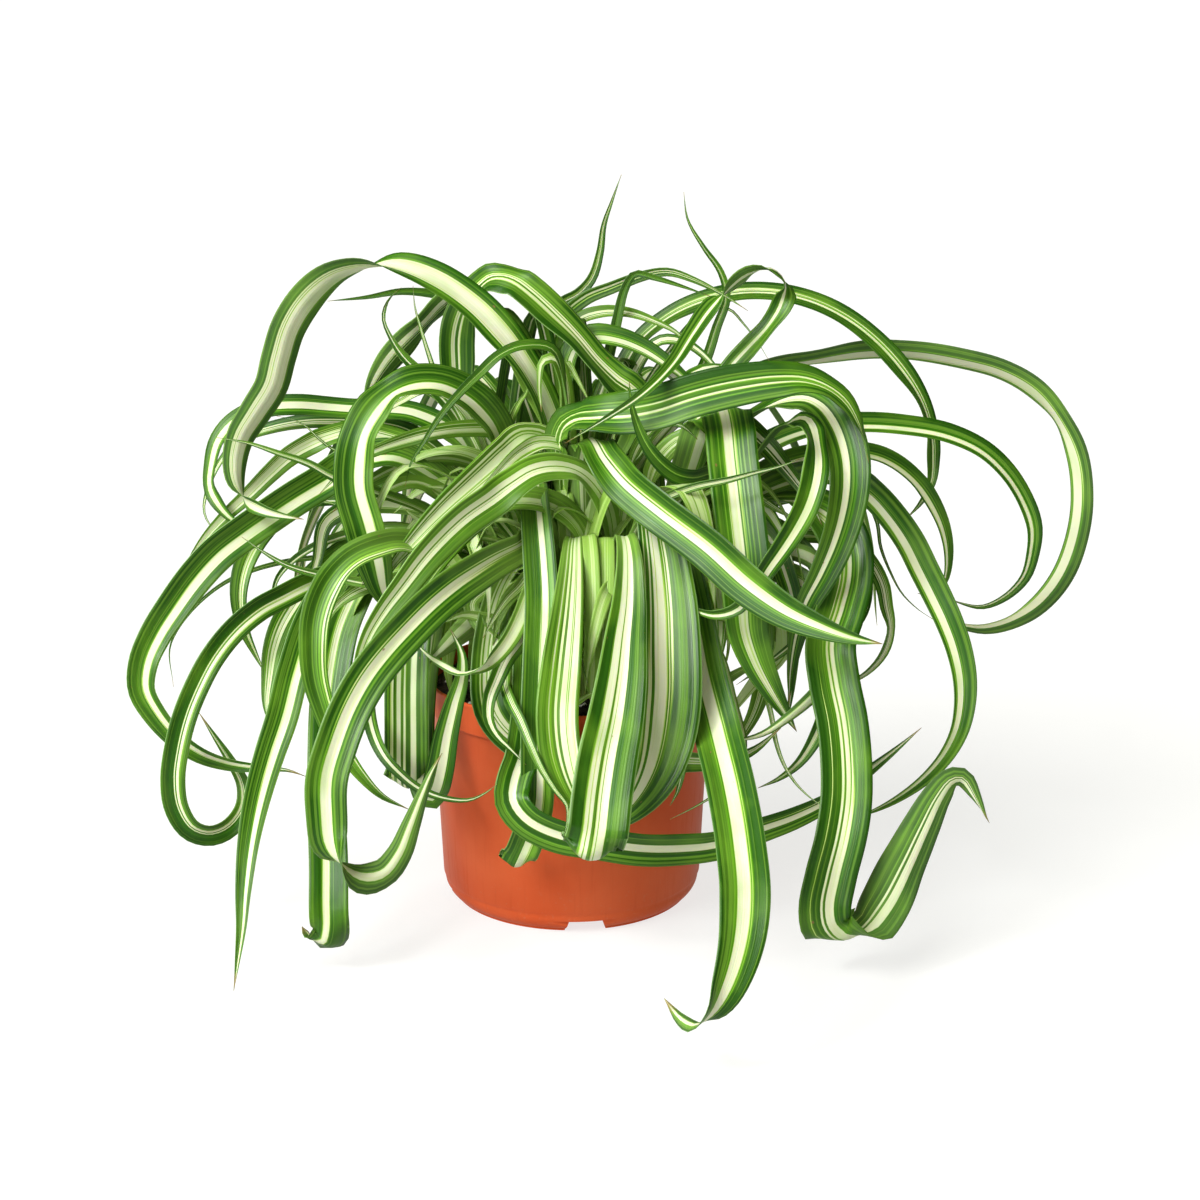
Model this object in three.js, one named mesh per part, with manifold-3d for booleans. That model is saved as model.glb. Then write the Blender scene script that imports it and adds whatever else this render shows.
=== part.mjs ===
// A spider plant in its round plastic pot, in millimetres, +Z up.
// The origin is the middle of the pot's underside, on the surface that it stands on.
// The plant is four tufts that grow close together in the soil. Each blade is a thin channelled ribbon
// along a drawn route, and the blades of a tuft are joined to its crown as one solid.
import * as THREE from "three";
import { mergeVertices } from "three/addons/utils/BufferGeometryUtils.js";
import Module from "manifold-3d";

// Pot: a thin moulded shell with a deeper band at the rim and four drain notches in its foot.
const POT_HEIGHT = 118;
const RIM_RADIUS = 75;
const RIM_BAND_HEIGHT = 16;
const BAND_FOOT = POT_HEIGHT - RIM_BAND_HEIGHT;
const BAND_DRAFT = 0.8;
const BAND_LEDGE = 0.6;
const BAND_STEP_INSIDE = 2;
const LIP_ROUND = 1;
const WALL_TOP_RADIUS = 72;
const WALL_BASE_RADIUS = 66.8;
const WALL_THICKNESS = 1.8;
const FOOT_ROUND = 9;
const FOOT_ROUND_START = -64;
const FOOT_SOLE_REACH = 4;
const FOOT_RING_RADIUS = 61;
const FLOOR_HEIGHT = 7;
const FLOOR_THICKNESS = 2;
const FLOOR_TOP = FLOOR_HEIGHT + FLOOR_THICKNESS;
const PAD_RADIUS = 38;
const CHANNEL_DRAFT = 1;
const DRAIN_HOLE_RADIUS = 4;
const DRAIN_HOLE_CIRCLE = 49;
const DRAIN_HOLES = 8;
const DRAIN_HOLE_SIDES = 8;
const NOTCHES = 4;
const NOTCH_TURN = THREE.MathUtils.degToRad(-83);
const NOTCH_TOP_WIDTH = 16.5;
const NOTCH_FOOT_WIDTH = 21;
const NOTCH_HEIGHT = 6.5;
const NOTCH_PANEL_WIDTH = 36;
const NOTCH_PANEL_INSET = 2.6;
const NOTCH_START = FOOT_RING_RADIUS - 3;
const NOTCH_LENGTH = 42;
const PANEL_LENGTH = 20;
const POT_SIDES = 36;

// Soil, and the plain holes that the crowns stand in.
const SOIL_TOP = 112;
const SOIL_DOME = 1;
const SOIL_SHELF = 3;
const CLEARANCE = 0.3;
const CROWN_DEPTH = 16;
const CROWN_RADIUS = 10;
const CROWN_HEAD_RADIUS = 8;
const CROWN_RISE = 22;
const CROWN_COLLAR = 2;
const CROWN_CAP = 2;
const CROWN_SIDES = 12;

// Blades: the thickness at the keel, which is never more than a share of the half width, and how far the
// edges rise above the bottom of the channel, as a share of the width.
const BLADE_THICKNESS = 1.2;
const KEEL_SHARE = 0.6;
const CHANNEL_DEPTH = 0.13;
// A blade's width: the root's share of it, and the shares of the length at which it is first and last full.
// A row may give its own two, and a third at which its root starts to broaden.
const ROOT_WIDTH = 0.22;
const FULL_WIDTH = [0.38, 0.56];
const TIP_SHAPE = 1.8;
// A blade has a new station after this much turn or run, and its last one stays clear of its tip.
const RING_TURN = THREE.MathUtils.degToRad(30);
const RING_RUN = 46;
const TIP_GAP = 4.8;
const FINE_STEPS = 10;

// Routes are drawn on an upright sheet through the plant's middle, seen from the front and a little above.
// A route point is [across, up, toward the viewer]. It lies on the sight line through its place on the sheet.
const VIEW_DISTANCE = 1141.3;
const VIEW_PITCH = 0.27;
const SHEET_MIDDLE = new THREE.Vector3(15, 0, 156.5);
const SHEET_UP = new THREE.Vector3(0, Math.sin(VIEW_PITCH), Math.cos(VIEW_PITCH));
const SIGHT = new THREE.Vector3(0, Math.cos(VIEW_PITCH), -Math.sin(VIEW_PITCH));

// The way that a blade's upper side faces at a route point: up, down, left, right, front or back, or a mix.
const FACING = {
  U: [0, 0, 1],
  D: [0, 0, -1],
  L: [-1, 0, 0],
  R: [1, 0, 0],
  F: [0, -1, 0],
  B: [0, 1, 0],
};

// Crown places, across and deep, seen from above.
const CROWNS = {
  front_tuft: [2, -22],
  left_tuft: [-27, 5],
  right_tuft: [30, -1],
  back_tuft: [-2, 31],
};

// Each blade: its width, the facing at each route point, and the route from crown to tip.
const FRONT_BLADES = [
  // The broad one that crosses in front of all the others.
  [20, "B B BU U UF F F F F F F F F", [[-6, 0, 12], [-9, 50, 18], [-9, 74, 24], [-5, 83, 36],
    [2, 72, 50], [12, 60, 60], [30, 45, 74], [55, 26, 86], [75, 8, 94], [95, -6, 102], [115, -15, 110],
    [130, -20, 116], [145, -23, 122]], [0.55, 0.75]],
  // Straps that rise, bend over the rim and hang in front of the pot.
  [28.5, "B B BU UF F F F F F F F F F FD D DB B", [[2, -10, 18], [8, 20, 26], [11, 30, 36], [13, 32, 48],
    [15, 22, 62], [15, 0, 72], [13, -20, 82], [11, -40, 92], [8, -60, 100], [4, -80, 108],
    [1, -100, 115], [-1, -118, 120], [-3, -130, 122], [-4, -134, 118], [-4, -134, 111], [-3, -128, 106],
    [0, -108, 100]], [0.76, 0.93, 0.16]],
  [30, "B B BU UF F F F F F F F F F", [[8, 0, 10], [14, 40, 18], [18, 56, 28], [26, 50, 42],
    [32, 26, 54], [35, 0, 64], [36, -25, 72], [36, -50, 79], [33, -74, 84], [28, -90, 88],
    [20, -103, 89], [9, -113, 87], [-3, -116, 82]], [0.7, 0.75, 0.12]],
  [23, "B B BU UF F F F F F F F F FD D DB B", [[12, 0, 4], [24, 34, 10], [33, 36, 22], [42, 18, 36],
    [48, -10, 48], [53, -38, 60], [60, -66, 77], [67, -95, 102], [72, -125, 128], [74, -152, 150],
    [72, -176, 164], [66, -197, 173], [58, -212, 176], [50, -219, 174], [42, -216, 168],
    [33, -205, 160]], [0.5, 0.78]],
  [20.5, "B B BU U F F F F F F F F", [[-10, 0, 8], [-11, 22, 14], [-13, 31, 24], [-14, 29, 36],
    [-15, 14, 50], [-17, -8, 62], [-20, -35, 75], [-22, -60, 84], [-20, -80, 88], [-15, -96, 90],
    [-8, -108, 88], [2, -112, 84]], [0.76, 0.82, 0.14]],
  [16.5, "B B BU U UF F F F F F F F F FD DB B", [[-20, 0, 4], [-28, 40, 6], [-33, 60, 14], [-34, 58, 26],
    [-33, 44, 36], [-31, 20, 46], [-30, 0, 55], [-31, -30, 66], [-32, -60, 73], [-32, -88, 70],
    [-33, -108, 64], [-37, -122, 60], [-42, -134, 58], [-44, -138, 54], [-43, -134, 50],
    [-40, -120, 48]], [0.5, 0.93]],
  // Hoops that swing across in front of the pot.
  [17, "B BU UF F F F F F F F F F F F F F F F F F", [[-24, 0, 4], [-31, 16, 14], [-35, 6, 34],
    [-36, -24, 54], [-37, -60, 66], [-40, -80, 68], [-44, -92, 72], [-45, -103, 76], [-38, -113, 77],
    [-22, -121, 76], [0, -125, 74], [22, -128, 70], [42, -128, 66], [60, -126, 62], [80, -119, 60],
    [100, -112, 58], [118, -103, 56], [138, -88, 54], [152, -77, 52], [165, -66, 50]], [0.35, 0.6]],
  [17, "B BU UF F F F F F F F F", [[-28, 4, 0], [-41, 16, 14], [-50, 4, 30], [-57, -30, 46],
    [-55, -58, 57], [-40, -74, 57], [-16, -80, 61], [12, -82, 63], [40, -83, 62], [62, -83, 60],
    [78, -78, 57], [93, -66, 52]], [0.4, 0.6]],
  // Small curled ones between the straps.
  [10, "B BU UF F F F F F F F", [[-26, 10, 10], [-33, 12, 34], [-36, -6, 52], [-41, -20, 62],
    [-48, -30, 67], [-53, -41, 71], [-57, -52, 73], [-57, -62, 74], [-53, -70, 74], [-46, -77, 74],
    [-38, -85, 72]]],
  [6, "B BU F F F F F F F F", [[-30, 0, 6], [-38, 10, 24], [-45, -18, 44], [-49, -40, 58],
    [-46, -52, 74], [-41, -62, 82], [-36, -74, 88], [-30, -87, 92], [-23, -98, 95], [-17, -106, 97],
    [-17, -115, 98], [-19, -124, 98]]],
  [9, "B BU UF F F F FD D DB B B", [[-22, 4, 14], [-30, 10, 32], [-35, 4, 46], [-40, -8, 56],
    [-46, -20, 66], [-54, -30, 74], [-62, -36, 79], [-71, -38, 81], [-80, -34, 78], [-88, -29, 72],
    [-95, -22, 66]]],
  [7, "B BU F F F F", [[-22, 0, 16], [-32, 16, 32], [-42, 6, 44], [-48, 0, 48], [-54, -9, 51],
    [-60, -20, 52]]],
  // Arches that start at the front tuft and sweep to the left.
  [17.5, "R RF RF RUF UUF UF UF UF F F F F F F F F F F", [[2, -10, 12], [6, 22, 16], [4, 44, 21],
    [-3, 57, 27], [-12, 65, 33], [-23, 67, 39], [-34, 65, 45], [-44, 59, 50], [-55, 51, 55],
    [-68, 42, 60], [-80, 31, 65], [-90, 20, 69], [-100, 7, 72], [-110, -6, 74], [-118, -19, 75],
    [-123, -33, 74], [-124, -48, 71], [-120, -62, 66]]],
  [15, "R RF RUF UF UF UF F F F F F F F F", [[-7, 0, 12], [-7, 25, 17], [-12, 38, 23], [-22, 47, 29],
    [-35, 51, 35], [-50, 50, 41], [-62, 44, 46], [-72, 35, 51], [-80, 26, 54], [-88, 15, 56],
    [-95, 4, 57], [-102, -8, 58], [-108, -20, 58], [-112, -34, 56]]],
  // The one that runs down to the lower left, turns in a hairpin and climbs again.
  [20, "B BU UF F F F F F F F F F F F F FD D DB B B B B", [[-18, 0, 14], [-25, 22, 22], [-33, 30, 32],
    [-42, 26, 42], [-52, 21, 52], [-62, 15, 61], [-74, 7, 70], [-86, -3, 78], [-98, -15, 84],
    [-109, -27, 89], [-119, -40, 93], [-128, -56, 97], [-135, -74, 100], [-140, -92, 102],
    [-140, -110, 103], [-138, -126, 103], [-131, -138, 101], [-121, -143, 98], [-111, -141, 95],
    [-103, -131, 93], [-97, -116, 91], [-91, -100, 90], [-86, -88, 89], [-81, -79, 88]], [0.38, 0.66]],
  // The long one that arches to the right across the middle.
  [22.5, "B LF LUF UF UF UFF UFF UFF UFF UFF UFF UF RUF RF RF R R", [[-14, 10, 10], [-19, 60, 14],
    [-21, 83, 21], [-15, 92, 32], [-2, 94, 42], [14, 95, 48], [30, 98, 52], [45, 103, 54], [60, 107, 55],
    [75, 110, 56], [90, 112, 57], [105, 112, 57], [117, 108, 57], [126, 101, 56], [132, 91, 55],
    [136, 80, 54], [138, 70, 54]], [0.46, 0.66, 0.2]],
  // Thin ones in front.
  [5, "B BU UF F F F F F", [[6, 0, 22], [16, 30, 40], [27, 48, 56], [38, 54, 66], [50, 58, 70],
    [65, 61, 72], [80, 65, 73], [92, 68, 73], [103, 72, 73]]],
  [6.5, "R R RUF UF UF F F F F F F", [[-16, 60, 14], [-18, 105, 16], [-24, 128, 20], [-40, 130, 26],
    [-52, 125, 30], [-62, 116, 33], [-72, 106, 36], [-82, 94, 38], [-91, 80, 40], [-97, 70, 41],
    [-100, 58, 42]]],
  [10, "R RF UF UF F F F F F", [[-20, 10, 6], [-18, 56, 10], [-18, 76, 16], [-30, 80, 26], [-40, 76, 33],
    [-48, 69, 38], [-56, 60, 42], [-64, 51, 45], [-74, 41, 46]]],
  [15, "UB B B B B B", [[-24, -10, 14], [-44, -6, 22], [-60, -9, 29], [-72, -18, 34], [-82, -27, 37],
    [-92, -35, 38]]],
  [9, "R UF F F F F F", [[-34, 4, 14], [-56, 6, 26], [-66, -2, 34], [-62, -13, 39], [-54, -20, 42],
    [-48, -29, 45], [-42, -39, 47]]],
  [6.5, "F UF F F F", [[-38, 20, 2], [-46, 46, 14], [-53, 44, 24], [-47, 35, 30], [-40, 26, 33],
    [-32, 14, 34]]],
];

const LEFT_BLADES = [
  // The tallest arch, over the left side.
  [19, "R RF RF RUF RUF UF UF UF UUF UUB UB UBB LBB LBB LBB LBB LBB LBB LB L F F F", [[-32, 20, -8],
    [-25, 60, -4], [-24, 85, 0], [-30, 104, 3], [-40, 122, 6], [-52, 138, 8], [-66, 152, 9],
    [-84, 164, 10], [-104, 171, 10], [-122, 170, 9], [-137, 165, 8], [-150, 154, 6], [-159, 140, 5],
    [-164, 124, 4], [-168, 109, 4], [-176, 96, 5], [-184, 83, 7], [-187, 70, 9], [-186, 59, 11],
    [-182, 51, 14], [-174, 46, 18], [-164, 43, 21], [-152, 41, 24]], [0.38, 0.74]],
  // The far left blade, which curls back under itself.
  [18.5, "R RUF UF UF F F F F F F F F F F F F F F UF UF F", [[-50, 30, -14], [-80, 60, -8], [-105, 74, -4],
    [-125, 71, -2], [-140, 62, 0], [-155, 53, 3], [-170, 43, 6], [-183, 34, 9], [-196, 24, 12],
    [-208, 11, 15], [-219, -4, 18], [-228, -18, 20], [-234, -32, 22], [-235, -46, 22], [-229, -58, 22],
    [-218, -71, 21], [-205, -80, 20], [-190, -85, 18], [-175, -87, 16], [-160, -88, 14],
    [-151, -91, 12]]],
  [12.5, "R RUF UF UF F F F F F F F F F F F F F F F F F F", [[-60, 30, -22], [-95, 30, -18],
    [-120, 20, -10], [-138, 12, 0], [-150, 8, 8], [-162, 2, 14], [-175, -5, 20], [-188, -16, 25],
    [-199, -30, 29], [-207, -45, 32], [-213, -60, 34], [-217, -76, 35], [-219, -92, 34],
    [-217, -107, 31], [-210, -118, 28], [-200, -121, 23], [-190, -117, 18], [-183, -107, 13],
    [-183, -95, 9], [-190, -82, 7], [-198, -70, 6], [-206, -58, 6]], [0.36, 0.72]],
  // Hanging ribbons on the left.
  [16.5, "R UF UF F F F F F F F F F F F", [[-70, 20, -16], [-105, 30, -8], [-132, 14, 4],
    [-148, -10, 16], [-157, -36, 30], [-163, -60, 42], [-169, -78, 50], [-174, -95, 60],
    [-178, -112, 70], [-181, -130, 80], [-183, -150, 89], [-184, -168, 97], [-186, -185, 103],
    [-188, -201, 108]], [0.4, 0.55]],
  [12, "R UF UF F F F F F F", [[-80, 26, -26], [-120, 30, -22], [-145, 14, -14], [-157, -2, -6],
    [-164, -14, 2], [-168, -26, 8], [-170, -40, 14], [-171, -55, 20], [-168, -68, 24]], [0.36, 0.72]],
  [11.5, "R UF UF F F F F F F F", [[-90, 44, -32], [-130, 52, -32], [-158, 48, -28], [-172, 36, -24],
    [-181, 22, -20], [-185, 8, -17], [-185, -5, -15], [-182, -17, -14], [-177, -28, -13],
    [-172, -38, -12]], [0.38, 0.72]],
  [15, "R RUF UF UF UF UF F F F F F F F F F F", [[-56, 0, 8], [-80, 20, 26], [-101, 29, 44],
    [-114, 27, 54], [-126, 22, 58], [-135, 14, 61], [-142, 3, 64], [-146, -10, 66], [-147, -25, 68],
    [-146, -40, 69], [-142, -55, 70], [-137, -68, 70], [-130, -80, 71], [-122, -91, 72],
    [-112, -101, 73], [-98, -108, 73]]],
  // The front arch on the left, with a waved hanging end.
  [20, "R RF RUF UF UF UF UF LUF LFF LFF F F F F F", [[-44, 20, -2], [-48, 60, 6], [-52, 86, 14],
    [-60, 98, 20], [-70, 106, 25], [-82, 111, 30], [-95, 111, 35], [-107, 106, 39], [-116, 97, 42],
    [-123, 84, 44], [-126, 70, 45], [-126, 56, 45], [-121, 38, 44], [-116, 20, 42], [-112, 4, 40],
    [-106, -8, 36]], [0.4, 0.88]],
  [6, "R RUF UF UF UF LF F F", [[-50, 40, -14], [-62, 84, -10], [-76, 103, -6], [-90, 107, -2],
    [-101, 102, 2], [-110, 96, 6], [-116, 84, 10], [-117, 70, 12]]],
  // Broad cream ones that lean to the lower left.
  [17, "R RF UF UF F F F F F F F F", [[-34, 20, -6], [-27, 60, 0], [-28, 80, 8], [-38, 83, 18],
    [-48, 76, 26], [-58, 67, 32], [-68, 58, 37], [-78, 49, 40], [-88, 39, 42], [-97, 29, 42],
    [-106, 18, 40], [-114, 4, 36]]],
  // Side shoots between the arches.
  [13, "R RF UF UF UF UF UF UF UF LUF LF LF F F F", [[-50, 40, -22], [-72, 82, -24], [-95, 95, -23],
    [-112, 97, -22], [-126, 97, -21], [-140, 98, -20], [-155, 99, -19], [-170, 98, -18], [-185, 92, -17],
    [-195, 82, -15], [-199, 69, -13], [-200, 58, -11], [-196, 49, -9], [-190, 42, -8],
    [-180, 35, -8]], [0.38, 0.8]],
  [10, "R RF UF UF UF UF UF LUF LF LF F", [[-60, 50, -26], [-95, 84, -29], [-115, 90, -32],
    [-130, 91, -34], [-150, 91, -34], [-168, 88, -35], [-184, 82, -36], [-195, 70, -36], [-202, 54, -36],
    [-203, 44, -35], [-197, 33, -34]]],
  [5.5, "R UF UF F F F F F F", [[-64, 20, 6], [-88, 44, 20], [-106, 52, 28], [-120, 57, 32],
    [-137, 63, 35], [-150, 70, 38], [-165, 75, 40], [-180, 80, 41], [-197, 83, 42]]],
  [12, "R UF UF UF UF F F F F F F F F", [[-66, 50, -24], [-92, 76, -20], [-112, 84, -18], [-128, 86, -16],
    [-140, 83, -14], [-150, 79, -13], [-160, 73, -12], [-170, 64, -12], [-180, 54, -12], [-192, 43, -14],
    [-203, 31, -16], [-211, 19, -18], [-217, 7, -20]]],
  [10.5, "R UF UF UF UF F F", [[-40, 50, -6], [-44, 78, -2], [-54, 86, 2], [-70, 87, 5], [-86, 85, 8],
    [-102, 81, 10], [-118, 75, 11], [-132, 66, 11], [-144, 54, 11]]],
  [13.5, "R UB UB B B B B", [[-46, 44, -14], [-58, 64, -12], [-74, 71, -10], [-92, 70, -8], [-108, 65, -7],
    [-124, 56, -6], [-138, 44, -6]]],
  [10.5, "R UF UF UF F F", [[-50, 20, -2], [-68, 44, 6], [-84, 56, 12], [-96, 60, 16], [-107, 57, 19],
    [-117, 49, 20], [-124, 36, 20]]],
  [5.5, "R UF UF UF F F F F F", [[-56, -6, 12], [-80, 2, 22], [-102, 7, 28], [-120, 8, 32], [-135, 11, 34],
    [-150, 14, 36], [-162, 18, 37], [-174, 25, 38], [-184, 32, 39]]],
  [11, "R UF UF UF F F F", [[-58, 4, 4], [-84, 12, 14], [-104, 9, 22], [-120, 6, 27], [-130, 1, 29],
    [-137, -6, 29], [-141, -16, 28]]],
  [4, "F F F F F F F", [[-56, 60, -12], [-72, 95, -10], [-84, 115, -8], [-88, 126, -6], [-92, 139, -4],
    [-95, 150, -2], [-96, 161, 0]]],
  [7.5, "F F F F F LF LF RF R", [[-56, 60, -18], [-74, 95, -16], [-85, 108, -14], [-93, 117, -12],
    [-101, 125, -10], [-107, 134, -8], [-111, 144, -6], [-109, 153, -4], [-102, 160, -2]]],
  [8, "R RF UF F F", [[-44, 60, -10], [-46, 90, -8], [-42, 100, -6], [-38, 106, -4], [-36, 114, -4]]],
  // Ribbons that hang in front of the pot's left side.
  [22, "R RUF UF F F F F F F FD D B", [[-52, 10, 0], [-74, 28, 8], [-88, 20, 18], [-95, 0, 29],
    [-98, -22, 38], [-99, -45, 44], [-99, -68, 47], [-99, -86, 48], [-99, -95, 45], [-98, -97, 39],
    [-97, -86, 33]], [0.4, 0.96]],
  [19, "R UF UF F F F F F F F FD D B", [[-80, 16, -8], [-112, 18, 2], [-130, -8, 14], [-138, -42, 28],
    [-140, -78, 44], [-140, -108, 58], [-139, -135, 67], [-139, -155, 73], [-139, -170, 75],
    [-141, -177, 72], [-146, -176, 66], [-153, -168, 62]], [0.4, 0.94]],
  [7.5, "R UF F F F F F F F F F F", [[-76, 2, 4], [-102, 2, 14], [-115, -22, 28], [-119, -48, 44],
    [-117, -66, 58], [-111, -80, 68], [-102, -90, 73], [-93, -97, 76], [-80, -102, 78], [-67, -103, 80],
    [-58, -99, 82], [-53, -95, 83]]],
  [14, "R UF F F F F F F F F F F F", [[-64, 6, 2], [-80, 4, 10], [-89, -30, 22], [-92, -66, 33],
    [-91, -92, 44], [-88, -101, 54], [-85, -98, 62], [-82, -87, 67], [-79, -70, 69], [-75, -54, 70],
    [-71, -40, 71], [-71, -28, 72], [-77, -15, 73]], [0.3, 0.7]],
  [7, "F UF F F F F F", [[-44, 20, -2], [-60, 50, 8], [-67, 42, 22], [-63, 25, 34], [-58, 10, 41],
    [-57, -4, 45], [-58, -16, 47]]],
];

const RIGHT_BLADES = [
  // Hangs on the right behind the broad crossing blade.
  [22, "L LU U UF UF F F F F F F F F F F", [[34, 30, 2], [60, 76, 8], [85, 98, 16], [103, 104, 24],
    [114, 100, 32], [122, 90, 38], [127, 75, 43], [128, 60, 47], [126, 45, 50], [121, 28, 53],
    [114, 12, 54], [106, -3, 54], [101, -20, 50], [98, -38, 44], [97, -54, 38]]],
  // The long hanging strap that turns up again at its end.
  [25, "L LU U UF F F F F F F F F F F F F FD D DB B B B B B UB U RU R", [[38, 16, -6], [70, 44, 0],
    [98, 50, 10], [117, 42, 22], [126, 28, 32], [127, 12, 40], [123, -5, 48], [118, -22, 55],
    [120, -42, 62], [124, -62, 68], [126, -82, 73], [126, -102, 77], [123, -122, 80], [118, -142, 82],
    [115, -158, 83], [117, -169, 82], [124, -175, 79], [134, -171, 76], [146, -156, 74], [156, -137, 72],
    [165, -118, 70], [173, -102, 68], [180, -93, 66], [186, -92, 64], [193, -102, 62], [200, -115, 60]],
    [0.3, 0.78]],
  // Wide strap right of the middle.
  [25, "B B BU UF F F F F F F F F F F", [[32, 20, 6], [48, 66, 12], [58, 94, 18], [63, 99, 28],
    [66, 91, 42], [68, 72, 52], [70, 55, 58], [72, 38, 62], [74, 20, 65], [75, 2, 67], [76, -16, 67],
    [81, -32, 64], [88, -46, 59], [95, -58, 53], [101, -68, 47]], [0.4, 0.7]],
  // The inner hoop on the right.
  [14, "L LU U UF RF F F F F F F F F F F", [[40, 20, 6], [72, 62, 20], [94, 88, 34], [105, 92, 44],
    [110, 80, 53], [110, 64, 60], [106, 49, 66], [100, 37, 71], [93, 26, 75], [86, 16, 79], [79, 5, 82],
    [70, -5, 82], [60, -8, 78], [50, -6, 68], [40, 0, 56]]],
  // Small dark curl with its tip up.
  [11, "B B UF F F F F F F F", [[38, 30, 0], [54, 56, 12], [60, 64, 26], [56, 64, 38], [48, 62, 46],
    [39, 64, 51], [31, 70, 55], [24, 79, 58], [19, 90, 60], [16, 101, 61], [15, 112, 61]]],
  // Loop at the upper right, whose tip comes back to the middle.
  [11.5, "L LF LF LF LUF UF RU RU RUB UB UF UF UF UF F F F", [[34, 50, -4], [54, 98, 0], [68, 119, 3],
    [78, 130, 6], [87, 140, 8], [94, 152, 10], [95, 163, 12], [88, 170, 14], [77, 167, 17],
    [66, 159, 20], [56, 149, 24], [47, 136, 32], [38, 122, 48], [28, 111, 60], [17, 102, 65],
    [0, 91, 67], [-18, 80, 67]]],
  [13, "L LF UF UF UF UF UF UF UF F F F F F F F", [[44, 30, -16], [72, 70, -20], [100, 86, -24],
    [130, 90, -28], [155, 89, -31], [178, 85, -34], [196, 77, -36], [209, 65, -38], [218, 51, -40],
    [223, 37, -41], [222, 23, -42], [218, 11, -44], [208, 1, -46], [196, -4, -48], [185, -2, -50],
    [178, 1, -52]]],
  [10.5, "L LF UF UF UF UF F F F F F F F", [[42, 30, -10], [88, 68, -12], [120, 76, -14], [140, 75, -16],
    [152, 70, -18], [163, 61, -20], [171, 50, -22], [177, 36, -24], [179, 22, -26], [177, 9, -28],
    [171, 2, -30], [163, 3, -32]], [0.4, 0.62]],
  // The large hanging curve at the far right.
  [15, "L LUF UF UF F F F F F F F F F F F F F F", [[46, 24, -2], [80, 54, 2], [108, 64, 4],
    [128, 62, 7], [140, 54, 10], [150, 43, 14], [159, 30, 17], [166, 16, 20], [173, 2, 23],
    [179, -11, 26], [184, -25, 28], [187, -40, 30], [187, -54, 32], [184, -68, 34], [177, -81, 36],
    [167, -92, 38], [155, -101, 40], [142, -108, 42], [128, -113, 44]]],
  [15, "L UF UF UF F F F F", [[36, 50, 0], [54, 86, 4], [70, 90, 8], [84, 80, 13], [93, 70, 17],
    [101, 60, 21], [108, 50, 25], [114, 38, 27]]],
  // Small twisted and thin ones.
  [2.5, "F F F F F F F F", [[80, 44, -8], [112, 52, -6], [136, 50, -4], [142, 40, -3], [144, 27, -2],
    [149, 14, 0], [155, 3, 1], [163, -5, 2], [172, -11, 3]]],
  [9, "L UF F F F F RF F F F F", [[80, 30, -6], [112, 36, 4], [132, 26, 10], [140, 17, 13], [145, 7, 15],
    [147, -4, 16], [149, -15, 16], [146, -27, 16], [139, -36, 16], [130, -42, 16], [118, -46, 16]]],
  [9, "L UF F F F F F", [[78, 24, -14], [114, 32, -6], [132, 22, -2], [137, 8, 1], [136, -6, 3],
    [130, -17, 5], [122, -26, 6]]],
  [13, "L UF F F F F F F F", [[70, 10, -2], [98, 12, 8], [114, -4, 20], [119, -30, 31], [117, -55, 38],
    [110, -72, 42], [102, -84, 44], [92, -92, 45], [81, -97, 46]]],
  [10, "UB B B B B B B B B B", [[70, 16, 4], [100, 24, 10], [122, 8, 22], [128, -14, 34], [124, -32, 42],
    [116, -43, 50], [106, -53, 57], [95, -62, 63], [84, -69, 65], [73, -72, 65], [62, -72, 63]]],
  [3, "F F F F F F F", [[64, -10, 14], [82, -40, 34], [88, -60, 46], [90, -72, 52], [94, -84, 58],
    [100, -94, 61], [108, -102, 63], [117, -108, 64]]],
  [3, "F F F F F", [[56, -20, 30], [70, -56, 48], [74, -78, 64], [68, -93, 67], [58, -101, 69],
    [48, -107, 71], [36, -113, 72]]],
  [12, "L UF UF F F F", [[24, 50, -4], [30, 70, 0], [44, 82, 6], [58, 74, 10], [72, 60, 14],
    [88, 48, 17], [102, 40, 18]]],
];

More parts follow.
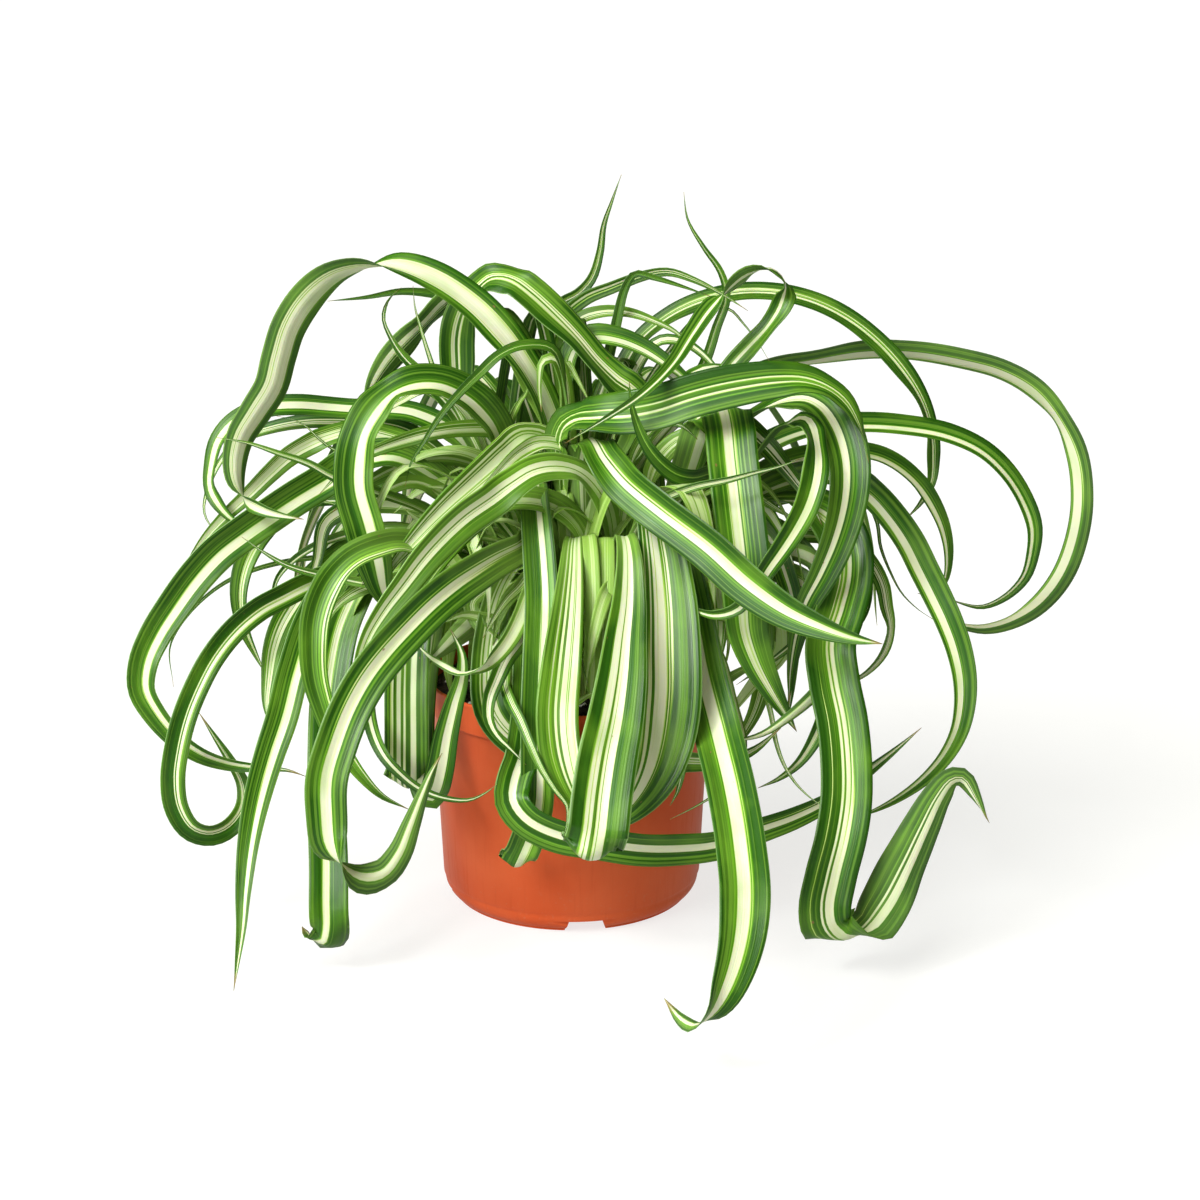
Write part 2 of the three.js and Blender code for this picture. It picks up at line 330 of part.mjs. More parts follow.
const BACK_BLADES = [
  // Upright tips and arches over the top.
  [19, "L LF RF RF RUF RUF UF UF UF UF LUF LF F F F LF", [[0, 50, -18], [20, 84, -12], [18, 104, -8],
    [8, 112, -6], [-2, 122, -4], [-12, 134, -3], [-24, 146, -2], [-36, 157, -2], [-46, 164, -4],
    [-55, 165, -10], [-62, 160, -17], [-69, 150, -22], [-73, 136, -26], [-73, 120, -28], [-72, 104, -28],
    [-76, 88, -26]], [0.34, 0.88]],
  [15, "R RF RF RUF UF UB UB UB LUB LBB LBB LBB LB", [[-18, 50, -34], [-20, 92, -28], [-29, 112, -24],
    [-38, 127, -22], [-48, 141, -22], [-59, 153, -24], [-70, 157, -28], [-80, 151, -32], [-90, 141, -34],
    [-100, 131, -36], [-109, 121, -37], [-117, 108, -38], [-121, 95, -38]], [0.4, 0.86]],
  [7.5, "F F F F F F F F F F", [[-18, 60, -46], [-26, 112, -48], [-27, 140, -47], [-21, 151, -45],
    [-11, 157, -43], [-4, 165, -41], [0, 178, -39], [2, 192, -37], [6, 204, -35], [11, 218, -33]]],
  [8, "F F F F F F F F F F", [[-16, 60, -40], [-24, 112, -38], [-20, 142, -36], [-8, 154, -33],
    [6, 160, -30], [22, 166, -28], [35, 168, -26], [48, 164, -24], [62, 157, -23], [76, 148, -22]]],
  [6.5, "F F F F F F F F", [[-2, 60, -30], [2, 112, -28], [8, 140, -26], [13, 160, -24], [18, 167, -21],
    [28, 165, -19], [41, 161, -18], [58, 155, -17]]],
  [6, "F F F F F F F F F", [[8, 60, -44], [36, 95, -46], [53, 120, -46], [60, 140, -44],
    [65, 155, -42], [62, 168, -40], [53, 181, -38], [45, 195, -36], [43, 209, -34]]],
  [3, "F F F F F F F", [[8, 80, -52], [34, 126, -54], [54, 148, -54], [66, 149, -52], [74, 141, -50],
    [81, 132, -48], [87, 122, -46]]],
  // The two long ones over the right side.
  [12, "L LF LUF LUF UF UF UF UF UF UF UF RUF RF F F F F", [[-2, 60, -52], [8, 108, -56], [20, 132, -58],
    [34, 144, -58], [50, 152, -58], [70, 157, -58], [90, 157, -58], [108, 153, -58], [125, 145, -58],
    [140, 134, -57], [154, 119, -56], [165, 102, -55], [170, 86, -54], [171, 72, -53], [170, 60, -52],
    [165, 50, -51], [157, 41, -50]], [0.38, 0.78]],
  [13, "L LB UB UB UBB UBB UBB UBB UBB RUB RBB RBB RBB RBB RBB RDB DB DB DB", [[10, 50, -64],
    [50, 100, -72], [85, 118, -76], [110, 123, -80], [135, 127, -82], [160, 127, -84], [185, 123, -86],
    [207, 117, -88], [224, 107, -90], [237, 91, -92], [245, 72, -94], [247, 50, -96], [244, 30, -98],
    [237, 12, -100], [226, -2, -102], [212, -11, -104], [197, -15, -106], [183, -13, -108],
    [170, -8, -110]], [0.38, 0.82]],
  // Short ones in the middle of the top.
  [15, "L LF LUF UF UF UF UF RUF RF F", [[-14, 60, -16], [-18, 108, -16], [-14, 128, -15],
    [-4, 135, -14], [9, 134, -13], [22, 129, -12], [33, 122, -10], [43, 114, -8], [52, 104, -6],
    [58, 92, -4]]],
  [11, "L LF LUF UF UF UF UF F", [[-16, 70, -32], [-20, 122, -32], [-12, 142, -31], [0, 147, -30],
    [14, 147, -30], [27, 143, -29], [39, 137, -28], [48, 128, -27]]],
  [10, "L LF LUF UF UF F F", [[2, 60, -26], [16, 112, -28], [30, 132, -28], [42, 132, -27],
    [52, 126, -26], [61, 116, -25], [68, 104, -24]]],
  [11, "R RF RUF UF LF LF F", [[-14, 50, 0], [-17, 90, 4], [-18, 110, 6], [-23, 123, 8], [-29, 122, 10],
    [-31, 110, 11], [-30, 96, 11]]],
  [7.5, "F F F F F F F F", [[-22, 60, -56], [-38, 112, -60], [-56, 144, -62], [-72, 154, -62],
    [-86, 157, -61], [-102, 158, -60], [-120, 155, -59], [-140, 153, -58]]],
];

// Blades that no sight line shows well, spread round the back and sides by a rule: how many, the first and
// last direction in degrees from the front toward the right, and the ranges of reach, rise and width.
const SPRAYS = [
  { tuft: "back_tuft", count: 15, from: 98, to: 246, reach: [110, 205], rise: [70, 150], width: [9, 18] },
  { tuft: "back_tuft", count: 4, from: 130, to: 240, reach: [50, 90], rise: [150, 185], width: [7, 11] },
];
const SPRAY_SEED = 41;
const SPRAY_SWAY = 30;
const EVEN_PLACE = 0.3;
const FREE_PLACE = 0.4;
// The seeded draws multiply their state by this factor and keep it below this modulus.
const DRAW_FACTOR = 16807;
const DRAW_MODULUS = 2147483647;
// Along such a blade: how far out it is, and how high, as shares of its reach and rise.
const ARCH = [[0.1, 0.4], [0.3, 0.82], [0.55, 0.98], [0.8, 0.74], [0.95, 0.3], [1, -0.12]];

const COLOURS = {
  pot: 0xc4532f,
  soil: 0x2a211b,
  front_tuft: 0x6fae45,
  left_tuft: 0x5c9c3a,
  right_tuft: 0x4f8f35,
  back_tuft: 0x83b95c,
};
const ROUGHNESS = { pot: 0.45, soil: 0.95 };
const BLADE_ROUGHNESS = 0.4;

const wasm = await Module();
wasm.setup();

function toSolid(geometry) {
  const bare = geometry.clone();
  bare.deleteAttribute("normal");
  bare.deleteAttribute("uv");
  const merged = mergeVertices(bare, 1e-4);
  return new wasm.Manifold(
    new wasm.Mesh({
      numProp: 3,
      vertProperties: merged.attributes.position.array,
      triVerts: new Uint32Array(merged.index.array),
    }),
  );
}

function toMesh(name, solid, roughness) {
  const made = solid.getMesh();
  const geometry = new THREE.BufferGeometry();
  geometry.setAttribute("position", new THREE.BufferAttribute(made.vertProperties, 3));
  geometry.setIndex(new THREE.BufferAttribute(made.triVerts, 1));
  geometry.computeVertexNormals();
  const material = new THREE.MeshStandardMaterial({ color: COLOURS[name], roughness, metalness: 0 });
  const mesh = new THREE.Mesh(geometry, material);
  mesh.name = name;
  return mesh;
}

// A solid turned about the Z axis from an outline of [radius, height] points, listed from the bottom outward.
function turned(outline, sides) {
  const points = outline.map(([radius, height]) => new THREE.Vector2(radius, height));
  const lathe = new THREE.LatheGeometry(points, sides);
  lathe.rotateX(Math.PI / 2);
  return toSolid(lathe);
}

// Points of a quarter round from one angle to another, in degrees.
function round(radius, height, size, fromDegrees, toDegrees, steps) {
  return Array.from({ length: steps + 1 }, (_, i) => {
    const angle = THREE.MathUtils.degToRad(fromDegrees + ((toDegrees - fromDegrees) * i) / steps);
    return [radius + size * Math.cos(angle), height + size * Math.sin(angle)];
  });
}

function makePot() {
  const shell = turned(
    [
      [0, 0],
      [PAD_RADIUS, 0],
      [PAD_RADIUS + CHANNEL_DRAFT, FLOOR_HEIGHT],
      [FOOT_RING_RADIUS - CHANNEL_DRAFT, FLOOR_HEIGHT],
      [FOOT_RING_RADIUS, 0],
      [WALL_BASE_RADIUS - FOOT_ROUND + FOOT_SOLE_REACH, 0],
      ...round(WALL_BASE_RADIUS - FOOT_ROUND, FOOT_ROUND, FOOT_ROUND, FOOT_ROUND_START, 0, 3),
      [WALL_TOP_RADIUS, BAND_FOOT],
      [RIM_RADIUS - BAND_DRAFT, BAND_FOOT + BAND_LEDGE],
      ...round(RIM_RADIUS - LIP_ROUND, POT_HEIGHT - LIP_ROUND, LIP_ROUND, 0, 180, 2),
      [RIM_RADIUS - 2 * LIP_ROUND, BAND_FOOT + BAND_STEP_INSIDE],
      [WALL_TOP_RADIUS - WALL_THICKNESS, BAND_FOOT],
      [WALL_BASE_RADIUS - WALL_THICKNESS, FLOOR_TOP + FOOT_ROUND],
      [WALL_BASE_RADIUS - FOOT_ROUND, FLOOR_TOP],
      [0, FLOOR_TOP],
    ],
    POT_SIDES,
  );
  const cuts = [];
  for (let i = 0; i < DRAIN_HOLES; i++) {
    const hole = new THREE.CylinderGeometry(
      DRAIN_HOLE_RADIUS,
      DRAIN_HOLE_RADIUS,
      4 * FLOOR_THICKNESS,
      DRAIN_HOLE_SIDES,
    );
    const turn = (2 * Math.PI * i) / DRAIN_HOLES;
    hole.rotateX(Math.PI / 2);
    hole.translate(DRAIN_HOLE_CIRCLE, 0, FLOOR_HEIGHT + FLOOR_THICKNESS / 2);
    hole.rotateZ(turn);
    cuts.push(toSolid(hole));
  }
  for (let i = 0; i < NOTCHES; i++) {
    const turn = NOTCH_TURN + (2 * Math.PI * i) / NOTCHES;
    const opening = new THREE.Shape([
      new THREE.Vector2(-NOTCH_FOOT_WIDTH / 2, -1),
      new THREE.Vector2(NOTCH_FOOT_WIDTH / 2, -1),
      new THREE.Vector2(NOTCH_TOP_WIDTH / 2, NOTCH_HEIGHT),
      new THREE.Vector2(-NOTCH_TOP_WIDTH / 2, NOTCH_HEIGHT),
    ]);
    const notch = new THREE.ExtrudeGeometry(opening, { depth: NOTCH_LENGTH, bevelEnabled: false });
    notch.rotateX(Math.PI / 2);
    notch.rotateZ(Math.PI / 2);
    notch.translate(NOTCH_START, 0, 0);
    notch.rotateZ(turn);
    cuts.push(toSolid(notch));
    const panel = new THREE.BoxGeometry(PANEL_LENGTH, NOTCH_PANEL_WIDTH, 2 * NOTCH_HEIGHT);
    panel.translate(WALL_BASE_RADIUS - NOTCH_PANEL_INSET + PANEL_LENGTH / 2, 0, 0);
    panel.rotateZ(turn);
    cuts.push(toSolid(panel));
  }
  return cuts.reduce((pot, cut) => pot.subtract(cut), shell);
}

function makeSoil() {
  const bed = turned(
    [
      [0, FLOOR_TOP + CLEARANCE],
      [WALL_BASE_RADIUS - FOOT_ROUND - CLEARANCE, FLOOR_TOP + CLEARANCE],
      [WALL_BASE_RADIUS - WALL_THICKNESS - CLEARANCE, FLOOR_TOP + FOOT_ROUND + CLEARANCE],
      [WALL_TOP_RADIUS - WALL_THICKNESS - CLEARANCE, BAND_FOOT],
      [WALL_TOP_RADIUS - CLEARANCE, BAND_FOOT + SOIL_SHELF],
      [WALL_TOP_RADIUS, SOIL_TOP - SOIL_DOME],
      [0, SOIL_TOP],
    ],
    POT_SIDES,
  );
  const holes = Object.values(CROWNS).map(([x, y]) => {
    const hole = new THREE.CylinderGeometry(
      CROWN_RADIUS + CLEARANCE,
      CROWN_RADIUS + CLEARANCE,
      2 * CROWN_DEPTH,
      CROWN_SIDES,
    );
    hole.rotateX(Math.PI / 2);
    hole.translate(x, y, SOIL_TOP);
    return toSolid(hole);
  });
  return holes.reduce((soil, hole) => soil.subtract(hole), bed);
}

// The short thick stem that a tuft's blades grow from.
function makeCrown([x, y]) {
  const foot = SOIL_TOP - CROWN_DEPTH + CLEARANCE;
  const head = SOIL_TOP + CROWN_RISE;
  const crown = turned(
    [
      [0, foot],
      [CROWN_RADIUS, foot],
      [CROWN_RADIUS, SOIL_TOP + CROWN_COLLAR],
      [CROWN_HEAD_RADIUS, head],
      [0, head + CROWN_CAP],
    ],
    CROWN_SIDES,
  );
  return crown.translate([x, y, 0]);
}

function onSheet([across, up, near]) {
  const scale = 1 - near / VIEW_DISTANCE;
  return SHEET_MIDDLE.clone()
    .addScaledVector(SIGHT, -near)
    .addScaledVector(new THREE.Vector3(1, 0, 0), across * scale)
    .addScaledVector(SHEET_UP, up * scale);
}

function facing(code) {
  const sum = new THREE.Vector3();
  for (const letter of code) {
    sum.add(new THREE.Vector3(...FACING[letter]));
  }
  return sum.normalize();
}

function rootOf(tuft) {
  const [x, y] = CROWNS[tuft];
  return new THREE.Vector3(x, y, SOIL_TOP + CROWN_RISE / 2);
}

// A drawn blade, with its route in the part's frame. The last facing holds to the tip.
function drawnBlade(tuft, [width, codes, route, full = FULL_WIDTH]) {
  const faces = codes.split(" ").map(facing);
  const last = faces[faces.length - 1];
  return {
    width,
    full,
    route: [rootOf(tuft), ...route.map(onSheet)],
    faces: [faces[0], ...route.map((_, i) => faces[i] || last)],
  };
}

// Repeatable draws between 0 and 1.
function makeDraw(seed) {
  let state = seed;
  return () => {
    state = (state * DRAW_FACTOR) % DRAW_MODULUS;
    return state / DRAW_MODULUS;
  };
}

function between([low, high], share) {
  return low + (high - low) * share;
}

// Blades spread evenly over a range of directions, each arching out from its crown and down.
function sprayBlades({ tuft, count, from, to, reach, rise, width }, draw) {
  const root = rootOf(tuft);
  return Array.from({ length: count }, (_, i) => {
    const place = (i + EVEN_PLACE + FREE_PLACE * draw()) / count;
    const turn = THREE.MathUtils.degToRad(between([from, to], place));
    const out = new THREE.Vector3(Math.sin(turn), -Math.cos(turn), 0);
    const side = new THREE.Vector3(-out.y, out.x, 0);
    const far = between(reach, draw());
    const high = between(rise, draw());
    const sway = SPRAY_SWAY * (draw() - 0.5);
    const route = ARCH.map(([share, height]) =>
      root
        .clone()
        .addScaledVector(out, far * share)
        .addScaledVector(side, sway * share * share)
        .setZ(root.z + high * height),
    );
    const whole = [root, ...route];
    const faces = whole.map((_, k) => {
      const before = whole[Math.max(k - 1, 0)];
      const after = whole[Math.min(k + 1, whole.length - 1)];
      return after.clone().sub(before).cross(side).normalize();
    });
    return { width: between(width, draw()), full: FULL_WIDTH, route: whole, faces };
  });
}

function bladeWidth(blade, share) {
  const [start, end, from = 0] = blade.full;
  const grow = THREE.MathUtils.smoothstep(share, from, start);
  const taper = Math.max(0, (share - end) / (1 - end));
  return blade.width * (ROOT_WIDTH + (1 - ROOT_WIDTH) * grow) * (1 - Math.pow(taper, TIP_SHAPE));
}

// Stations along a blade: place, way ahead and the facing of the upper side, with a new one wherever the
// blade has turned or run far enough since the last.
function stations(blade) {
  const curve = new THREE.CatmullRomCurve3(blade.route, false, "centripetal");
  const spans = blade.route.length - 1;
  const steps = spans * FINE_STEPS;
  const fine = [];
  let run = 0;
  for (let i = 0; i <= steps; i++) {
    const at = i / steps;
    const place = curve.getPoint(at);
    const ahead = curve.getTangent(at);
    const span = Math.min(Math.floor(at * spans), spans - 1);
    const share = at * spans - span;
    const up = blade.faces[span].clone().lerp(blade.faces[span + 1], share);
    up.addScaledVector(ahead, -up.dot(ahead)).normalize();
    if (i > 0) {
      run += place.distanceTo(fine[i - 1].place);
    }
    fine.push({ place, ahead, up, run });
  }
  const kept = [fine[0]];
  for (const station of fine) {
    const before = kept[kept.length - 1];
    const turnedBy = Math.max(station.ahead.angleTo(before.ahead), station.up.angleTo(before.up));
    if (turnedBy > RING_TURN || station.run - before.run > RING_RUN) {
      kept.push(station);
    }
  }
  const tip = fine[fine.length - 1];
  if (tip.run - kept[kept.length - 1].run < TIP_GAP) {
    kept.pop();
  }
  return { kept, tip };
}

// A closed ribbon with four lines along it: both edges, the bottom of its channel, and its keel below that.
function bladeSolid(blade) {
  const { kept, tip } = stations(blade);
  const places = [];
  const faces = [];
  for (const { place, ahead, up, run } of kept) {
    const half = bladeWidth(blade, run / tip.run) / 2;
    const side = up.clone().cross(ahead);
    const lift = half * 2 * CHANNEL_DEPTH;
    const keel = Math.min(BLADE_THICKNESS, half * KEEL_SHARE);
    places.push(
      place.clone().addScaledVector(side, -half).addScaledVector(up, lift),
      place.clone(),
      place.clone().addScaledVector(side, half).addScaledVector(up, lift),
      place.clone().addScaledVector(up, -keel),
    );
  }
  const lines = 4;
  for (let ring = 0; ring + 1 < kept.length; ring++) {
    const here = ring * lines;
    const next = here + lines;
    // Each panel is split from its edge to the middle line ahead, alike above and below.
    for (const [edge, middle, flip] of [[0, 1, true], [2, 1, false], [0, 3, false], [2, 3, true]]) {
      const panel = [
        [here + edge, here + middle, next + middle],
        [here + edge, next + middle, next + edge],
      ];
      for (const [a, b, c] of panel) {
        faces.push(...(flip ? [a, c, b] : [a, b, c]));
      }
    }
  }
  const last = (kept.length - 1) * lines;
  const point = places.push(tip.place.clone()) - 1;
  faces.push(0, 1, 3, 1, 2, 3);
  for (let line = 0; line < lines; line++) {
    faces.push(last + line, point, last + ((line + 1) % lines));
  }
  return new wasm.Manifold(
    new wasm.Mesh({
      numProp: 3,
      vertProperties: new Float32Array(places.flatMap((p) => p.toArray())),
      triVerts: new Uint32Array(faces),
    }),
  );
}

const draw = makeDraw(SPRAY_SEED);
const drawn = {
  front_tuft: FRONT_BLADES,
  left_tuft: LEFT_BLADES,
  right_tuft: RIGHT_BLADES,
  back_tuft: BACK_BLADES,
};

function makeTuft(tuft) {
  const blades = drawn[tuft].map((blade) => drawnBlade(tuft, blade));
  for (const spray of SPRAYS.filter((s) => s.tuft === tuft)) {
    blades.push(...sprayBlades(spray, draw));
  }
  return blades.map(bladeSolid).reduce((whole, blade) => whole.add(blade), makeCrown(CROWNS[tuft]));
}

const plant = new THREE.Group();
plant.add(toMesh("pot", makePot(), ROUGHNESS.pot));
plant.add(toMesh("soil", makeSoil(), ROUGHNESS.soil));
for (const tuft of Object.keys(CROWNS)) {
  plant.add(toMesh(tuft, makeTuft(tuft), BLADE_ROUGHNESS));
}

export default plant;
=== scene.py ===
import math
import random

import bpy
import numpy as np
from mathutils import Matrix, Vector, noise


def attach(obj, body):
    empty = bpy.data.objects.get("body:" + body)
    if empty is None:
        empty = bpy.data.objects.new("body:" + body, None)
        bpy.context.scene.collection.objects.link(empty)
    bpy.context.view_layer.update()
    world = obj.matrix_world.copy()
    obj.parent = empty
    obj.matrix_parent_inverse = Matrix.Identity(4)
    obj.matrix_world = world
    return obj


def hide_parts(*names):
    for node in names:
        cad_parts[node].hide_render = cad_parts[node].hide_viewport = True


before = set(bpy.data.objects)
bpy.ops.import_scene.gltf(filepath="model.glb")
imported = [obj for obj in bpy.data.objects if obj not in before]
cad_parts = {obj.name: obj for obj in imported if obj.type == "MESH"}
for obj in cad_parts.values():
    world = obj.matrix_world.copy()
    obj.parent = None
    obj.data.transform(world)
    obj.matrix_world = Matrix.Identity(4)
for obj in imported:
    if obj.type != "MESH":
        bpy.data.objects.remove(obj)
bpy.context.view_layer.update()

# Pot: a round nursery pot of thin moulded polypropylene with a deeper band at its rim. The soil and the plant
# stand in it, and it stands on the ring round its foot. Four notches in the foot let water out of the drain
# channel under its floor. Every size in this file is in millimetres, unless its comment says otherwise.
MM = 0.001
POT_HEIGHT = 118
RIM_RADIUS = 75
BAND_FOOT = 102
LIP_ROUND = 1
WALL_TOP_RADIUS = 72
WALL_BASE_RADIUS = 66.8
WALL_THICKNESS = 1.8
FOOT_ROUND = 9
FOOT_RING_RADIUS = 61
FLOOR_HEIGHT = 7
FLOOR_TOP = 9
PAD_RADIUS = 38
MOULD_LINE_HEIGHT = 11
MOULD_LINE_STEP = 0.25
POT_SIDES = 240
SPLIT_ANGLE = 40
NOTCHES = 4
NOTCH_TURN = -83
NOTCH_TOP_WIDTH = 16.5
NOTCH_FOOT_WIDTH = 21.6
NOTCH_HEIGHT = 6.5
NOTCH_START = 58
NOTCH_PANEL_WIDTH = 36
NOTCH_PANEL_REACH = 20
NOTCH_PANEL_INSET = 2.6
CUT_DEPTH = -1
DRAIN_HOLES = 8
DRAIN_HOLE_RADIUS = 4
DRAIN_HOLE_CIRCLE = 49
DRAIN_HOLE_SIDES = 32
TERRACOTTA = "#d6592f"
TERRACOTTA_PALE = "#de673d"
TERRACOTTA_DEEP = "#be4b27"
DUST = "#c98b6d"


def linear(hex_colour):
    """An sRGB hex colour as the linear colour that a shader socket takes."""
    parts = [int(hex_colour[i : i + 2], 16) / 255 for i in (1, 3, 5)]
    return [c / 12.92 if c <= 0.04045 else ((c + 0.055) / 1.055) ** 2.4 for c in parts] + [1.0]


def add(tree, kind, inputs=(), out=0, **settings):
    """Adds one node with its settings and gives back one of its output sockets. Each input is a value, a hex
    colour or the socket that feeds it."""
    node = tree.nodes.new("ShaderNode" + kind)
    for name, value in settings.items():
        setattr(node, name, value)
    for name, value in inputs.items() if isinstance(inputs, dict) else enumerate(inputs):
        if isinstance(value, bpy.types.NodeSocket):
            tree.links.new(value, node.inputs[name])
        else:
            node.inputs[name].default_value = linear(value) if isinstance(value, str) else value
    return node.outputs[out]


def new_material(name, values):
    """A material of that name, whose shader's own sockets hold the given values."""
    material = bpy.data.materials.new(name)
    material.use_nodes = True
    shader = material.node_tree.nodes["Principled BSDF"]
    for socket, value in values.items():
        shader.inputs[socket].default_value = value
    return material, material.node_tree, shader


def new_object(name, points, faces, materials=()):
    """A smooth mesh object from points in millimetres."""
    mesh = bpy.data.meshes.new(name)
    mesh.from_pydata([tuple(c * MM for c in p) for p in points], [], faces)
    for material in materials:
        mesh.materials.append(material)
    mesh.polygons.foreach_set("use_smooth", [True] * len(mesh.polygons))
    mesh.update()
    piece = bpy.data.objects.new(name, mesh)
    bpy.context.scene.collection.objects.link(piece)
    return piece


def stand_for(piece, node):
    """The piece rides with the part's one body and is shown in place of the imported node."""
    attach(piece, "root")
    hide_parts(node)


def turned(outline, sides):
    """Points and faces of an outline of (radius, height) pairs turned about the pot's axis. It starts and
    ends on the axis."""
    inner = outline[1:-1]
    points = [(0, 0, outline[0][1]), (0, 0, outline[-1][1])]
    for radius, height in inner:
        for i in range(sides):
            turn = 2 * math.pi * i / sides
            points.append((radius * math.cos(turn), radius * math.sin(turn), height))
    faces = []
    last = 2 + (len(inner) - 1) * sides
    for i in range(sides):
        j = (i + 1) % sides
        faces.append((0, 2 + j, 2 + i))
        for k in range(len(inner) - 1):
            low = 2 + k * sides
            faces.append((low + i, low + j, low + sides + j, low + sides + i))
        faces.append((last + i, last + j, 1))
    return points, faces


def arc(radius, height, size, first, last, steps):
    """Points of an arc about (radius, height), between two angles in degrees."""
    turns = [math.radians(first + (last - first) * i / steps) for i in range(steps + 1)]
    return [(radius + size * math.cos(t), height + size * math.sin(t)) for t in turns]


def block(low_width, high_width, length, low, high):
    """Points and faces of a bar along X whose width changes from its underside to its top."""
    points = [
        (x, side * width / 2, z)
        for x in (0, length)
        for width, z, sides in ((low_width, low, (-1, 1)), (high_width, high, (1, -1)))
        for side in sides
    ]
    faces = [(0, 3, 2, 1), (4, 5, 6, 7), (0, 1, 5, 4), (1, 2, 6, 5), (2, 3, 7, 6), (3, 0, 4, 7)]
    return points, faces


def placed(shape, out, turn):
    """Points moved out along X, then turned about the pot's axis."""
    points, faces = shape
    cos, sin = math.cos(turn), math.sin(turn)
    return [((x + out) * cos - y * sin, (x + out) * sin + y * cos, z) for x, y, z in points], faces


def cut_away(piece, cutters):
    """Cuts each of the cutters out of the piece, and deletes them."""
    for cutter in cutters:
        modifier = piece.modifiers.new("cut", "BOOLEAN")
        modifier.operation = "DIFFERENCE"
        modifier.object = cutter
        modifier.solver = "EXACT"
    result = piece.evaluated_get(bpy.context.evaluated_depsgraph_get())
    mesh = bpy.data.meshes.new_from_object(result)
    piece.modifiers.clear()
    piece.data = mesh
    for cutter in cutters:
        bpy.data.objects.remove(cutter)


def make_pot_plastic():
    """Polypropylene, injection moulded: a satin skin, faintly cloudy, with fine grain, scuffs and a little
    dust."""
    material, tree, shader = new_material("moulded_polypropylene", {"IOR": 1.49, "Specular IOR Level": 0.08})
    place = add(tree, "TexCoord", out="Object")
    cloud = add(tree, "TexNoise", {"Vector": place, "Scale": 1 / (45 * MM), "Detail": 3.0})
    cloudy = add(tree, "MapRange", (cloud, 0.35, 0.68, 0.0, 1.0))
    # Dust and splashed soil gather on the lowest 30 mm of the wall, in specks of under two millimetres.
    height = add(tree, "SeparateXYZ", (place,), "Z")
    low = add(tree, "MapRange", (height, 0.0, 30 * MM, 1.0, 0.0))
    speck = add(tree, "TexNoise", {"Vector": place, "Scale": 1 / (1.6 * MM), "Detail": 4.0})
    specks = add(tree, "MapRange", (speck, 0.6, 0.75, 0.0, 0.5))
    dusty = add(tree, "Math", (low, 0.5, 0.12), operation="MULTIPLY_ADD")
    dust = add(tree, "Math", (dusty, specks), operation="MULTIPLY")
    # Upright scuffs from stacking, about two millimetres wide.
    stretched = add(tree, "Mapping", {"Vector": place, "Scale": (1.0, 1.0, 0.06)})
    scuff = add(tree, "TexNoise", {"Vector": stretched, "Scale": 1 / (2 * MM), "Detail": 5.0})
    scuffs = add(tree, "MapRange", (scuff, 0.56, 0.72, 0.0, 1.0))
    faint = add(tree, "Math", (scuffs, 0.16), operation="MULTIPLY")
    # Each layer covers a share of what is under it. A Mix node's colours are its inputs 6 and 7 and output 2.
    colour = TERRACOTTA
    for share, tint in ((cloudy, TERRACOTTA_PALE), (dust, DUST), (faint, TERRACOTTA_DEEP)):
        colour = add(tree, "Mix", {0: share, 6: colour, 7: tint}, 2, data_type="RGBA")
    tree.links.new(colour, shader.inputs["Base Color"])
    tree.links.new(add(tree, "MapRange", (scuffs, 0.0, 1.0, 0.36, 0.5)), shader.inputs["Roughness"])
    # The mould's fine grain, drawn at 0.9 mm so that it just shows.
    grain = add(tree, "TexNoise", {"Vector": place, "Scale": 1 / (0.9 * MM), "Detail": 2.0})
    bump = add(tree, "Bump", {"Strength": 0.12, "Distance": 0.2 * MM, "Height": grain})
    tree.links.new(bump, shader.inputs["Normal"])
    return material


def wall_radius(height):
    return WALL_BASE_RADIUS + (WALL_TOP_RADIUS - WALL_BASE_RADIUS) * height / BAND_FOOT


pot_outline = [
    (0, 0),
    (PAD_RADIUS, 0),
    (PAD_RADIUS + 1, FLOOR_HEIGHT),
    (FOOT_RING_RADIUS - 1, FLOOR_HEIGHT),
    (FOOT_RING_RADIUS, 0),
    (WALL_BASE_RADIUS - FOOT_ROUND + 4, 0),
    *arc(WALL_BASE_RADIUS - FOOT_ROUND, FOOT_ROUND, FOOT_ROUND, -64, 0, 12),
    (wall_radius(MOULD_LINE_HEIGHT), MOULD_LINE_HEIGHT),
    (wall_radius(MOULD_LINE_HEIGHT) + MOULD_LINE_STEP, MOULD_LINE_HEIGHT + 0.4),
    (wall_radius(60), 60),
    # The band steps out from the wall with a small round at both corners.
    (WALL_TOP_RADIUS, BAND_FOOT - 0.8),
    (WALL_TOP_RADIUS + 0.3, BAND_FOOT - 0.2),
    (RIM_RADIUS - 1.6, BAND_FOOT),
    *arc(RIM_RADIUS - 1.5, BAND_FOOT + 0.8, 0.8, -90, 0, 5),
    (RIM_RADIUS - 0.5, POT_HEIGHT - 5),
    (RIM_RADIUS - 0.4, POT_HEIGHT - 3),
    *arc(RIM_RADIUS - LIP_ROUND, POT_HEIGHT - LIP_ROUND, LIP_ROUND, 0, 180, 12),
    # Down the inside, to the floor.
    (RIM_RADIUS - 2 * LIP_ROUND, BAND_FOOT + 2),
    (WALL_TOP_RADIUS - WALL_THICKNESS, BAND_FOOT),
    (WALL_BASE_RADIUS - WALL_THICKNESS, FLOOR_TOP + FOOT_ROUND),
    (WALL_BASE_RADIUS - FOOT_ROUND, FLOOR_TOP),
    (0, FLOOR_TOP),
]
pot = new_object("nursery_pot", *turned(pot_outline, POT_SIDES), [make_pot_plastic()])
